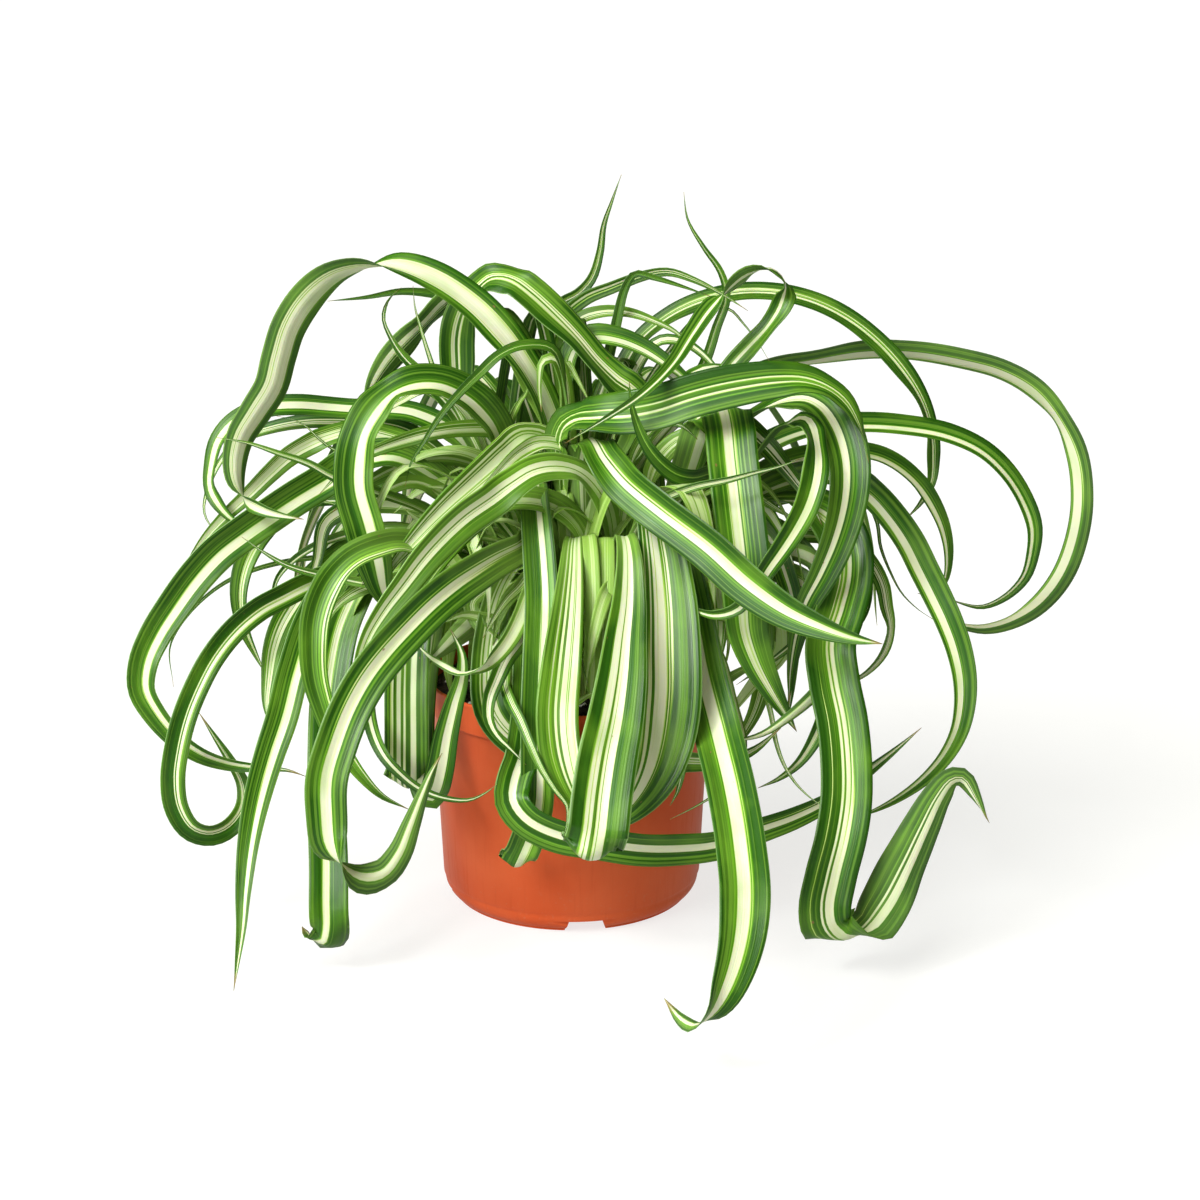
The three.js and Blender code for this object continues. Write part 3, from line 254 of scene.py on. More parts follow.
# Each notch is an opening through the foot ring, in a shallow flat panel. The holes go through the floor.
cutters = []
opening = block(NOTCH_FOOT_WIDTH, NOTCH_TOP_WIDTH, 2 * FOOT_RING_RADIUS, CUT_DEPTH, NOTCH_HEIGHT)
panel = block(NOTCH_PANEL_WIDTH, NOTCH_PANEL_WIDTH, NOTCH_PANEL_REACH, CUT_DEPTH, NOTCH_HEIGHT)
for i in range(NOTCHES):
    turn = math.radians(NOTCH_TURN) + 2 * math.pi * i / NOTCHES
    cutters.append(new_object("opening", *placed(opening, NOTCH_START, turn)))
    cutters.append(new_object("panel", *placed(panel, WALL_BASE_RADIUS - NOTCH_PANEL_INSET, turn)))
hole_outline = [
    (0, FLOOR_HEIGHT - 2),
    (DRAIN_HOLE_RADIUS, FLOOR_HEIGHT - 2),
    (DRAIN_HOLE_RADIUS, FLOOR_TOP + 2),
    (0, FLOOR_TOP + 2),
]
for i in range(DRAIN_HOLES):
    hole = placed(turned(hole_outline, DRAIN_HOLE_SIDES), DRAIN_HOLE_CIRCLE, 2 * math.pi * i / DRAIN_HOLES)
    cutters.append(new_object("hole", *hole))
cut_away(pot, cutters)
creases = pot.modifiers.new("creases", "EDGE_SPLIT")
creases.split_angle = math.radians(SPLIT_ANGLE)
stand_for(pot, "pot")


# Soil: a bed of dark, loose potting mix, crumbly on top, with white perlite and a few bits of bark in it.
# It is poured in to a little below the rim, and the crowns of the plant stand in it.
SOIL_TOP = 112
SOIL_RADIUS = 71.7
SOIL_RINGS = 44
SOIL_SIDES = 150
SOIL_GAP = 0.3
SOIL_SINK = 0.6
# Its lumps: how far apart, the layer of noise that they are read from and how high.
LUMPS = [(26, 3.1, 1.6), (8, 7.7, 1.1), (2.6, 1.3, 0.6)]
# Loose grains: how many and their half sizes, for the crumbs, the perlite and the bark.
GRAINS = [(620, (0.8, 2.6)), (110, (0.7, 1.9)), (60, (0.9, 2.4))]
GRAIN_CORNERS = [(0, 0, 1), (0, 0, -1), (1, 0, 0), (-1, 0, 0), (0, 1, 0), (0, -1, 0)]
GRAIN_FACES = [(0, 2, 4), (0, 4, 3), (0, 3, 5), (0, 5, 2), (1, 4, 2), (1, 3, 4), (1, 5, 3), (1, 2, 5)]
GRAIN_UNEVEN = (0.7, 1.25)
GRAIN_FLAT = 0.8
GRAIN_RAISE = 0.2
GRAIN_MARGIN = 3
SOIL_SEED = 5
SOIL_DARK = "#1b130d"
SOIL_BROWN = "#3a2a1e"
PERLITE_WHITE = "#e8e4dc"
PERLITE_GREY = "#bdb6a8"
BARK_TAN = "#8b6844"
BARK_BROWN = "#4e3826"


def make_soil_material():
    """Peat-based potting mix: matt, nearly black where damp, and browner on the dry crumbs."""
    material, tree, shader = new_material("potting_mix", {"Roughness": 0.95, "IOR": 1.4})
    place = add(tree, "TexCoord", out="Object")
    clump = add(tree, "TexNoise", {"Vector": place, "Scale": 1 / (6 * MM), "Detail": 6.0})
    dry = add(tree, "MapRange", (clump, 0.42, 0.66, 0.0, 1.0))
    colour = add(tree, "Mix", {0: dry, 6: SOIL_DARK, 7: SOIL_BROWN}, 2, data_type="RGBA")
    tree.links.new(colour, shader.inputs["Base Color"])
    grit = add(tree, "TexNoise", {"Vector": place, "Scale": 1 / (1.2 * MM), "Detail": 4.0})
    bump = add(tree, "Bump", {"Strength": 0.9, "Distance": 1.2 * MM, "Height": grit})
    tree.links.new(bump, shader.inputs["Normal"])
    return material


def make_grain_material(name, pale, dark, roughness):
    """A dry grain in the soil, matt and mottled between two colours: popped perlite or chipped bark."""
    material, tree, shader = new_material(name, {"Roughness": roughness})
    place = add(tree, "TexCoord", out="Object")
    mottle = add(tree, "TexNoise", {"Vector": place, "Scale": 1 / (2 * MM), "Detail": 4.0})
    share = add(tree, "MapRange", (mottle, 0.4, 0.65, 0.0, 1.0))
    colour = add(tree, "Mix", {0: share, 6: pale, 7: dark}, 2, data_type="RGBA")
    tree.links.new(colour, shader.inputs["Base Color"])
    bump = add(tree, "Bump", {"Strength": 0.6, "Distance": 0.4 * MM, "Height": mottle})
    tree.links.new(bump, shader.inputs["Normal"])
    return material


def soil_height(x, y):
    """Height of the soil's surface."""
    height = SOIL_TOP - SOIL_SINK
    for apart, layer, rise in LUMPS:
        height += rise * noise.noise(Vector((x / apart, y / apart, layer)))
    return height


def scatter_grains(points, faces, kinds, draw, count, sizes, kind):
    """Adds loose grains to a mesh, each an uneven lump half sunk in the soil's surface."""
    for _ in range(count):
        reach = (SOIL_RADIUS - GRAIN_MARGIN) * math.sqrt(draw.random())
        turn = draw.uniform(0, 2 * math.pi)
        x, y = reach * math.cos(turn), reach * math.sin(turn)
        size = draw.uniform(*sizes)
        spin = draw.uniform(0, math.pi)
        start = len(points)
        for cx, cy, cz in GRAIN_CORNERS:
            grow = size * draw.uniform(*GRAIN_UNEVEN)
            gx = cx * math.cos(spin) - cy * math.sin(spin)
            gy = cx * math.sin(spin) + cy * math.cos(spin)
            z = soil_height(x, y) + cz * grow * GRAIN_FLAT + GRAIN_RAISE * size
            points.append((x + gx * grow, y + gy * grow, z))
        for face in GRAIN_FACES:
            faces.append(tuple(start + c for c in face))
            kinds.append(kind)


soil_outline = [
    (0, FLOOR_TOP + SOIL_GAP),
    (WALL_BASE_RADIUS - FOOT_ROUND - SOIL_GAP, FLOOR_TOP + SOIL_GAP),
    (WALL_BASE_RADIUS - WALL_THICKNESS - SOIL_GAP, FLOOR_TOP + FOOT_ROUND + SOIL_GAP),
    (WALL_TOP_RADIUS - WALL_THICKNESS - SOIL_GAP, BAND_FOOT),
    (SOIL_RADIUS, BAND_FOOT + 3),
    *[(SOIL_RADIUS * (SOIL_RINGS - i) / SOIL_RINGS, SOIL_TOP) for i in range(SOIL_RINGS)],
    (0, SOIL_TOP),
]
soil_points, soil_faces = turned(soil_outline, SOIL_SIDES)
soil_points = [(x, y, soil_height(x, y) if z == SOIL_TOP else z) for x, y, z in soil_points]
soil_kinds = [0] * len(soil_faces)
soil_draw = random.Random(SOIL_SEED)
for kind, (count, sizes) in enumerate(GRAINS):
    scatter_grains(soil_points, soil_faces, soil_kinds, soil_draw, count, sizes, kind)
soil_materials = [
    make_soil_material(),
    make_grain_material("perlite", PERLITE_WHITE, PERLITE_GREY, 0.9),
    make_grain_material("bark_chips", BARK_TAN, BARK_BROWN, 0.85),
]
soil = new_object("potting_soil", soil_points, soil_faces, soil_materials)
soil.data.polygons.foreach_set("material_index", soil_kinds)
stand_for(soil, "soil")


# Front tuft: the living, striped leaves in front. Each is a thin channelled ribbon that grows from the tuft's
# crown in the soil, rises, bends over and hangs, often curled or hooked at its end. The other three tufts are
# made in the same way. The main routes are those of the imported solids.
FRONT_CROWN = (2, -22)
# The directions that its young leaves spread over, in degrees from the front toward the right.
FRONT_SPAN = (80, 280)
CROWN_RADIUS = 10
CROWN_HEAD_RADIUS = 6
CROWN_RISE = 22
CROWN_DEPTH = 12
CROWN_SIDES = 24
# How a blade broadens and tapers: its width at the root as a share of its full width, where it usually keeps
# its full width, as shares of its length, and how round its tip is.
ROOT_WIDTH = 0.22
FULL_WIDTH = (0.38, 0.56)
TIP_SHAPE = 1.8
MIDDLE_THICKNESS = 0.6
EDGE_THICKNESS = 0.25
LEAST_HALF_WIDTH = 0.12
MOST_THICKNESS = 0.8
# How deep a blade's cross-section is folded, as shares of its half width: all along, at its root, and less
# where it bends over.
CHANNEL_FOLD = 0.26
ROOT_FOLD = 0.5
ROOT_FOLD_END = 0.45
FOLD_POWER = 1.15
CREST_DROP = 2.4
CREST_START = 0.3
CREST_DOME = -0.9
YOUNG_FOLD = 0.3
PLEAT = 0.05
PLEATS_ACROSS = 3.2
EDGE_WAVE = 0.12
EDGE_WAVE_RUN = 26
# How finely a blade is meshed along it, and how many faces it has across from each width on.
STEP_ALONG = 3.4
COARSE_STEP = 6.0
LANES = [(15, 14), (9, 10), (5, 8), (0, 4)]
LEAST_STEPS = 8
FINE_STEPS = 16
FACING_BLUR = 9
# The sheet that the routes are given on. It stands square to the photograph's line of sight, through the
# middle of the plant, and the camera's distance from it sets how a nearer point shrinks toward its middle.
VIEW_DISTANCE = 1141.3
VIEW_PITCH = 0.27
SHEET_MIDDLE = np.array([15, 0, 156.5])
SHEET_UP = np.array([0, math.sin(VIEW_PITCH), math.cos(VIEW_PITCH)])
SIGHT = np.array([0, math.cos(VIEW_PITCH), -math.sin(VIEW_PITCH)])
LEAF_SEED = 17
PHASE_RANGE = (0, 50)
# The directions that a blade's upper side can face.
FACING = {
    "U": (0, 0, 1),
    "D": (0, 0, -1),
    "L": (-1, 0, 0),
    "R": (1, 0, 0),
    "F": (0, -1, 0),
    "B": (0, 1, 0),
}
# The young blades in the middle of each tuft: how many, and the ranges of their reach, rise, sway and width.
INNER_COUNT = 18
INNER_REACH = (26, 92)
INNER_RISE = (50, 108)
INNER_SWAY = 14
INNER_WIDTH = (9, 17)
INNER_FULL = (0.12, 0.5)
INNER_ARCH = ((0.08, 0.35), (0.22, 0.7), (0.45, 0.94), (0.72, 1.0), (0.9, 0.8), (1.0, 0.45))
# How a blade is striped: half the width of its cream band and the band's place, both as shares of the half
# width, how light its green is, and how finely it is lined.
LOOKS = {
    "d": (-0.1, 0.0, 0.1, 0.5),
    "g": (0.07, 0.1, 0.22, 0.7),
    "n": (0.1, -0.08, 0.22, 0.6),
    "s": (0.18, 0.0, 0.12, 0.35),
    "r": (0.2, 0.22, 0.22, 0.45),
    "m": (0.23, 0.05, 0.42, 0.9),
    "v": (0.3, -0.22, 0.3, 0.6),
    "w": (0.38, -0.04, 0.3, 0.5),
    "i": (0.4, 0.25, 0.12, 0.35),
    "l": (0.2, -0.05, 0.78, 1.0),
    "k": (0.38, 0.34, 0.75, 1.5),
    "p": (0.6, 0.1, 0.85, 1.3),
    "o": (0.12, 0.0, 0.95, 0.4),
    "a": (0.17, -0.42, 0.15, 0.35),
    "b": (0.12, -0.3, 0.2, 0.55),
    "c": (0.09, -0.1, 0.22, 0.9),
    "e": (0.09, -0.2, 0.25, 0.9),
    "f": (0.16, -0.15, 0.35, 1.5),
    "h": (0.1, 0.22, 0.3, 0.7),
    "j": (0.08, 0.32, 0.6, 0.9),
}
OTHER_LOOKS = "gnsrmmvwlld"
YOUNG_LOOKS = "lpoomp"
CROWN_LOOK = "o"
# The colours across a blade, from the middle of its cream band outward.
LEAF_BANDS = [
    (0.0, "#e6eacb"),
    (0.15, "#dde6b4"),
    (0.185, "#bcd56e"),
    (0.215, "#80b634"),
    (0.245, "#5f9c1c"),
    (0.34, "#4d8812"),
    (0.37, "#3a730b"),
    (0.56, "#306609"),
    (0.6, "#285a07"),
    (0.95, "#235006"),
]
LEAF_EDGE = "#acd681"
LEAF_ROOT = "#a9cf63"
LEAF_YELLOW = "#97c53c"
LEAF_BLOOM = "#b4c99a"
VEIN_PALE = "#86b73c"
VEIN_DARK = "#234c07"
LINE_DARK = "#2f680a"
PATCH_PALE = "#7fb52c"
SCAR_BROWN = "#8a6440"
TIP_BROWN = "#9a7a45"


def make_leaf_material(name, upper, paleness=0.0):
    """A living leaf of the striped kind: a smooth, thin, waxy skin that light comes through a little. The
    upper side is glossy and full in colour, and the underside paler and duller. Its stripes run the whole
    length: cream in the middle, then lime, green and dark green, each broken by fine lines."""
    material, tree, shader = new_material(
        name,
        {
            "IOR": 1.45,
            "Specular IOR Level": 0.36 if upper else 0.12,
            "Subsurface Weight": 0.3,
            "Subsurface Scale": 0.3 * MM,
            "Subsurface Radius": (0.6, 1.0, 0.25),
        },
    )
    # Where a point is on its blade: across from 0 to 1, metres from the root, and the share of the length.
    # Then the blade's own draw and its look.
    (across, run), (share, own), (stripe, place), (tone, lined) = (
        add(tree, "SeparateXYZ", (add(tree, "UVMap", uv_map=layer),)).node.outputs[:2]
        for layer in ("Blade", "Kind", "Band", "Tone")
    )
    spot = add(tree, "CombineXYZ", (across, run, own))

    def streaks(per_width, per_metre, detail, turn):
        """Noise drawn out along the blade, from -0.5 to 0.5, other on each blade. A blade is 10 to 25 mm
        wide, so 9 to a width is a streak every one to three millimetres."""
        at = add(tree, "VectorMath", (spot, (per_width, per_metre, turn)), operation="MULTIPLY")
        pattern = add(tree, "TexNoise", {"Vector": at, "Scale": 1.0, "Detail": detail})
        return add(tree, "Math", (pattern, 0.5), operation="SUBTRACT")

    broad = streaks(5.0, 1.2, 1.0, 57.0)
    lines = add(tree, "MapRange", (streaks(9.0, 1.4, 0.0, 31.0), -0.06, 0.06, -0.5, 0.5))
    fine = add(tree, "MapRange", (streaks(22.0, 2.2, 0.0, 23.0), -0.08, 0.08, -0.5, 0.5))
    # The cream band wanders a little, and it goes over to green through lime, faster on the darker blades.
    middle = add(tree, "Math", (streaks(0.4, 9.0, 1.0, 91.0), 0.3), operation="MULTIPLY")
    middle = add(tree, "Math", (middle, place), operation="SUBTRACT")
    from_middle = add(tree, "Math", (across, 0.5), operation="SUBTRACT")
    middle = add(tree, "Math", (from_middle, 2.0, middle), operation="MULTIPLY_ADD")
    middle = add(tree, "Math", (middle,), operation="ABSOLUTE")
    away = add(tree, "Math", (middle, stripe), operation="SUBTRACT")
    pace = add(tree, "MapRange", (tone, 0.0, 1.0, 1.5, 0.5))
    green = add(tree, "Math", (away, pace, 0.165), operation="MULTIPLY_ADD")
    # Lines of the next colours break each band, most of all near the cream.
    far = add(tree, "Math", (away,), operation="ABSOLUTE")
    near = add(tree, "MapRange", (far, 0.1, 0.6, 1.0, 0.7))
    strength = add(tree, "Math", (lined, 1.3, 0.15), operation="MULTIPLY_ADD")
    strength = add(tree, "Math", (near, strength), operation="MULTIPLY")
    pattern = add(tree, "Math", (broad, 0.6), operation="MULTIPLY")
    pattern = add(tree, "Math", (lines, 0.28, pattern), operation="MULTIPLY_ADD")
    pattern = add(tree, "Math", (fine, 0.22, pattern), operation="MULTIPLY_ADD")
    green = add(tree, "Math", (pattern, strength, green), operation="MULTIPLY_ADD")
    colour = add(tree, "ValToRGB", (green,))
    bar = colour.node.color_ramp
    for _ in LEAF_BANDS[2:]:
        bar.elements.new(0.5)
    for element, (position, hex_colour) in zip(bar.elements, LEAF_BANDS):
        element.position = position
        element.color = linear(hex_colour)

    # Thin pale and dark veins on the green parts, and slow changes of tone along the blade.
    on_green = add(tree, "MapRange", (green, 0.19, 0.26, 0.0, 1.0))
    veins = []
    for turn, most in ((43.0, 0.5), (61.0, 0.65)):
        off_vein = add(tree, "Math", (streaks(7.0, 1.0, 1.0, turn),), operation="ABSOLUTE")
        vein = add(tree, "MapRange", (off_vein, 0.03, 0.08, most, 0.0))
        veins.append(add(tree, "Math", (vein, on_green), operation="MULTIPLY"))
    dark = add(tree, "MapRange", (fine, 0.0, 0.5, 0.05, 0.35))
    dark = add(tree, "Math", (dark, on_green), operation="MULTIPLY")
    patches = add(tree, "MapRange", (streaks(1.2, 26.0, 2.0, 77.0), 0.0, 0.2, 0.0, 0.3))
    # Some blades are yellower, some have a pale rim, and every blade is paler towards its root.
    yellow = add(tree, "MapRange", (tone, 0.5, 1.0, 0.0, 0.3))
    edge = add(tree, "Math", (across, 2.0, -1.0), operation="MULTIPLY_ADD")
    edge = add(tree, "Math", (edge,), operation="ABSOLUTE")
    edge = add(tree, "MapRange", (edge, 0.95, 0.975, 0.0, 1.0))
    rim = add(tree, "MapRange", (own, 0.5, 0.8, 0.0, 0.5))
    rim = add(tree, "Math", (edge, rim), operation="MULTIPLY")
    root = add(tree, "MapRange", (run, 0.05, 0.14, 0.6, 0.0))
    # Its tip dries first, and it has a few small brown scars.
    dry = add(tree, "Math", (own, 0.012, share), operation="MULTIPLY_ADD")
    dry = add(tree, "MapRange", (dry, 0.985, 0.998, 0.0, 0.75))
    scars = add(tree, "MapRange", (streaks(9.0, 240.0, 1.0, 13.0), 0.30, 0.33, 0.0, 0.7))
    layers = [
        (veins[0], VEIN_PALE),
        (veins[1], VEIN_DARK),
        (dark, LINE_DARK),
        (patches, PATCH_PALE),
        (yellow, LEAF_YELLOW),
        (rim, LEAF_EDGE),
        (root, LEAF_ROOT),
        (dry, TIP_BROWN),
        (scars, SCAR_BROWN),
    ]
    if paleness:
        layers.append((paleness, LEAF_ROOT))
    if not upper:
        layers.append((0.1, LEAF_BLOOM))
    for cover, tint in layers:
        colour = add(tree, "Mix", {0: cover, 6: colour, 7: tint}, 2, data_type="RGBA")
    tree.links.new(colour, shader.inputs["Base Color"])
    rough = (0.3, 0.42) if upper else (0.48, 0.6)
    tree.links.new(add(tree, "MapRange", (fine, -0.5, 0.5, *rough)), shader.inputs["Roughness"])
    # Raised veins along the blade, and tiny puckers across it that break up its shine.
    relief = (streaks(14.0, 1100.0, 1.0, 3.0), 0.25, streaks(40.0, 4.0, 1.0, 7.0))
    relief = add(tree, "Math", relief, operation="MULTIPLY_ADD")
    bump = add(tree, "Bump", {"Strength": 0.5, "Distance": 0.3 * MM, "Height": relief})
    tree.links.new(bump, shader.inputs["Normal"])
    return material


def on_sheet(route_point):
    """A route point's place in the part's frame."""
    across, up, near = route_point
    scale = 1 - near / VIEW_DISTANCE
    return SHEET_MIDDLE - SIGHT * near + np.array([1, 0, 0]) * across * scale + SHEET_UP * up * scale


def root_of(crown):
    """The point in a crown that its blades grow from."""
    return np.array([*crown, SOIL_TOP + CROWN_RISE / 2])


def unit(vectors):
    return vectors / np.linalg.norm(vectors, axis=-1, keepdims=True)


def facing(code):
    return unit(np.sum([FACING[letter] for letter in code], axis=0).astype(float))


def smooth_route(points):
    """Fine places along a centripetal Catmull-Rom curve through the points, and the way ahead at each."""
    ends = [2 * points[0] - points[1], *points, 2 * points[-1] - points[-2]]
    places = []
    ways = []
    for k in range(len(points) - 1):
        p0, p1, p2, p3 = ends[k : k + 4]
        d0, d1, d2 = (math.sqrt(np.linalg.norm(b - a)) for a, b in ((p0, p1), (p1, p2), (p2, p3)))
        t1 = ((p1 - p0) / d0 - (p2 - p0) / (d0 + d1) + (p2 - p1) / d1) * d1
        t2 = ((p2 - p1) / d1 - (p3 - p1) / (d1 + d2) + (p3 - p2) / d2) * d1
        last = k == len(points) - 2
        for i in range(FINE_STEPS + (1 if last else 0)):
            w = i / FINE_STEPS
            a = -3 * p1 + 3 * p2 - 2 * t1 - t2
            b = 2 * p1 - 2 * p2 + t1 + t2
            places.append(p1 + t1 * w + a * w * w + b * w**3)
            ways.append(t1 + 2 * a * w + 3 * b * w * w)
    return np.array(places), unit(np.array(ways))


def blurred(values, reach):
    """A running average along the first axis, with the ends held."""
    padded = np.concatenate([np.repeat(values[:1], reach, 0), values, np.repeat(values[-1:], reach, 0)])
    kernel = np.hanning(2 * reach + 3)[1:-1]
    kernel /= kernel.sum()
    return np.stack([np.convolve(padded[:, i], kernel, "valid") for i in range(values.shape[1])], axis=1)


def blade_frame(points, faces, step):
    """Even stations along a blade: place, way ahead, upper side, and the run from its root."""
    places, ways = smooth_route(points)
    at = np.arange(len(places)) / FINE_STEPS
    knots = np.arange(len(faces))
    ups = np.stack([np.interp(at, knots, [f[i] for f in faces]) for i in range(3)], axis=1)
    ups = blurred(ups, FACING_BLUR)
    run = np.concatenate([[0], np.cumsum(np.linalg.norm(np.diff(places, axis=0), axis=1))])
    even = np.linspace(0, run[-1], max(LEAST_STEPS, round(run[-1] / step)) + 1)
    place, way, up = (
        np.stack([np.interp(even, run, v[:, i]) for i in range(3)], axis=1) for v in (places, ways, ups)
    )
    way = unit(way)
    up = unit(up - way * np.sum(up * way, axis=1, keepdims=True))
    return place, way, up, even


def blade_width(share, width, full):
    """Width along a blade, which broadens from its root to its full width and ends in a point."""
    start, end, growth_start = (*full, 0)[:3]
    grow = np.clip((share - growth_start) / (start - growth_start), 0, 1)
    grow = grow * grow * (3 - 2 * grow)
    taper = np.clip((share - end) / (1 - end), 0, 1)
    return width * (ROOT_WIDTH + (1 - ROOT_WIDTH) * grow) * (1 - taper**TIP_SHAPE)


def arching(root, turn, far, rise, sway, arch):
    """The route of a blade that arches out from its crown in the direction of turn, and its facings."""
    out = np.array([math.sin(turn), -math.cos(turn), 0])
    side = np.array([-out[1], out[0], 0])
    route = [root]
    for share, height in arch:
        spot = root + out * far * share + side * sway * share * share
        spot[2] = root[2] + rise * height
        route.append(spot)
    ends = [route[0], *route, route[-1]]
    return route, [unit(np.cross(after - before, side)) for before, after in zip(ends, ends[2:])]


class Tuft:
    """The mesh of one tuft as it grows. Each point carries its place on its blade, and that blade's look."""

    def __init__(self, crown):
        self.root = root_of(crown)
        self.points = []
        self.faces = []
        self.kinds = []
        self.spots = []

    def add_rings(self, rings, spots, run, share, own, kinds):
        """Joins closed rings of points with faces, and closes the first and the last ring. Each face round a
        ring has its own kind of material."""
        start = len(self.points)
        loop = len(spots)
        for ring, along, part in zip(rings, run, share):
            self.points.extend(ring.tolist())
            self.spots.extend((spot, along * MM, part, *own) for spot in spots)
        for k in range(len(rings) - 1):
            here = start + k * loop
            for i in range(loop):
                j = (i + 1) % loop
                self.faces.append((here + i, here + j, here + loop + j, here + loop + i))
                self.kinds.append(int(kinds[i]))
        last = start + (len(rings) - 1) * loop
        self.faces.append(tuple(range(start + loop - 1, start - 1, -1)))
        self.faces.append(tuple(range(last, last + loop)))
        self.kinds.extend((int(kinds[-1]), int(kinds[-1])))

    def add_crown(self):
        """Adds the short pale stem that the leaves grow from."""
        outline = [
            (CROWN_RADIUS, SOIL_TOP - CROWN_DEPTH),
            (CROWN_RADIUS, SOIL_TOP + 1),
            (CROWN_RADIUS - 1.5, SOIL_TOP + 8),
            (CROWN_HEAD_RADIUS, SOIL_TOP + CROWN_RISE - 4),
            (1, SOIL_TOP + CROWN_RISE),
        ]
        x, y = self.root[:2]
        turns = np.linspace(0, 2 * math.pi, CROWN_SIDES, endpoint=False)
        rings = np.array([[(x + r * math.cos(t), y + r * math.sin(t), z) for t in turns] for r, z in outline])
        # The pattern of one blade comes round it three times.
        spots = 0.5 + 0.4 * np.sin(3 * turns)
        own = (0.31, *LOOKS[CROWN_LOOK])
        heights = [z for _, z in outline]
        self.add_rings(rings, spots, heights, [0.02] * len(outline), own, [2] * CROWN_SIDES)

    def add_blade(self, points, faces, width, full, look=None, step=STEP_ALONG, young=False):
        """Adds one blade as closed rings of points, each across the upper side and back across the
        underside."""
        place, way, up, run = blade_frame(points, faces, step)
        share = run / run[-1]
        lanes = next(count for wide, count in LANES if width >= wide)
        half = np.maximum(blade_width(share, width, full) / 2, LEAST_HALF_WIDTH)[:, None]
        side = np.cross(up, way)
        across = np.linspace(-1, 1, lanes + 1)
        other_looks = YOUNG_LOOKS if young else OTHER_LOOKS
        own = (leaf_draw.random(), *LOOKS[look or leaf_draw.choice(other_looks)])
        phase = leaf_draw.uniform(*PHASE_RANGE)
        # Deeper folded near its root and flattened where it bends over, with pleats and gently waved edges.
        bending = -np.sum(np.gradient(way, run[1], axis=0) * up, axis=1)
        fold = CHANNEL_FOLD + ROOT_FOLD * np.clip(1 - share / ROOT_FOLD_END, 0, 1) ** 2
        crest = np.maximum(blurred(bending[:, None], 2) * half - CREST_START, 0)
        fold = np.maximum(fold[:, None] - CREST_DROP * crest, CREST_DOME)
        if young:
            fold = fold * YOUNG_FOLD
        pleats = PLEAT * np.array([noise.noise(Vector((u * PLEATS_ACROSS, phase, 2.5))) for u in across])
        edges = (phase, phase + 9)
        wave = np.array([[noise.noise(Vector((r / EDGE_WAVE_RUN, s, 0.5))) for s in edges] for r in run])
        waved = np.where(across < 0, wave[:, :1], wave[:, 1:]) * across**2 * EDGE_WAVE
        shape = np.abs(across) ** FOLD_POWER * np.maximum(fold, 0) + across**2 * np.minimum(fold, 0)
        bend = half * (shape + pleats + waved)
        thick = EDGE_THICKNESS + (MIDDLE_THICKNESS - EDGE_THICKNESS) * (1 - across**2)
        thick = np.minimum(thick, half * MOST_THICKNESS)
        upper = place[:, None] + side[:, None] * (half * across)[..., None] + up[:, None] * bend[..., None]
        under = upper - up[:, None] * thick[..., None]
        rings = np.concatenate([upper, under[:, ::-1]], axis=1)
        spots = (across + 1) / 2
        spots = np.concatenate([spots, spots[::-1]])
        self.add_rings(rings, spots, run, share, own, [2 if young else i >= lanes for i in range(len(spots))])

    def add_drawn(self, row, usual_full, look=None, young=False):
        """Adds a blade from its row. The last facing holds to the tip."""
        width, codes, route, *full = row
        faces = [facing(code) for code in codes.split()]
        faces += faces[-1:] * (len(route) - len(faces))
        points = [self.root, *(on_sheet(spot) for spot in route)]
        self.add_blade(points, [faces[0], *faces], width, full[0] if full else usual_full, look, young=young)

    def add_inner(self, span):
        """Adds the young leaves that stand up in the middle of the tuft and bend over at their tips."""
        low, high = span
        for i in range(INNER_COUNT):
            turn = math.radians(low + (high - low) * (i + leaf_draw.random()) / INNER_COUNT)
            far = leaf_draw.uniform(*INNER_REACH)
            rise = leaf_draw.uniform(*INNER_RISE)
            sway = leaf_draw.uniform(-INNER_SWAY, INNER_SWAY)
            width = leaf_draw.uniform(*INNER_WIDTH)
            points, faces = arching(self.root, turn, far, rise, sway, INNER_ARCH)
            self.add_blade(points, faces, width, INNER_FULL, step=COARSE_STEP, young=True)

    def finish(self, node):
        """Makes the tuft's piece, with what each point carries in four maps that the leaf materials read."""
        piece = new_object(node + "_leaves", self.points, self.faces, leaf_materials)
        piece.data.polygons.foreach_set("material_index", self.kinds)
        corners = np.zeros(len(piece.data.loops), dtype=int)
        piece.data.loops.foreach_get("vertex_index", corners)
        spots = np.array(self.spots)[corners]
        for index, layer in enumerate(("Blade", "Kind", "Band", "Tone")):
            pair = spots[:, 2 * index : 2 * index + 2]
            piece.data.uv_layers.new(name=layer).uv.foreach_set("vector", pair.ravel())
        stand_for(piece, node)


leaf_draw = random.Random(LEAF_SEED)
leaf_materials = [
    make_leaf_material("leaf_upper_side", True),
    make_leaf_material("leaf_underside", False),
    make_leaf_material("young_leaf", True, 0.4),
]


def grow_tuft(node, crown, blades, looks, small_blades, span, spread=()):
    """One tuft: its crown, the blades of its tables, those that spread by a rule, and its young ones."""
    tuft = Tuft(crown)
    tuft.add_crown()
    for row, look in zip(blades, looks, strict=True):
        tuft.add_drawn(row, FULL_WIDTH, look)
    for age, *row in small_blades:
        tuft.add_drawn(row, INNER_FULL, young=age == "young")
    for points, faces, width in spread:
        tuft.add_blade(points, faces, width, FULL_WIDTH, step=COARSE_STEP)
    tuft.add_inner(span)
    tuft.finish(node)


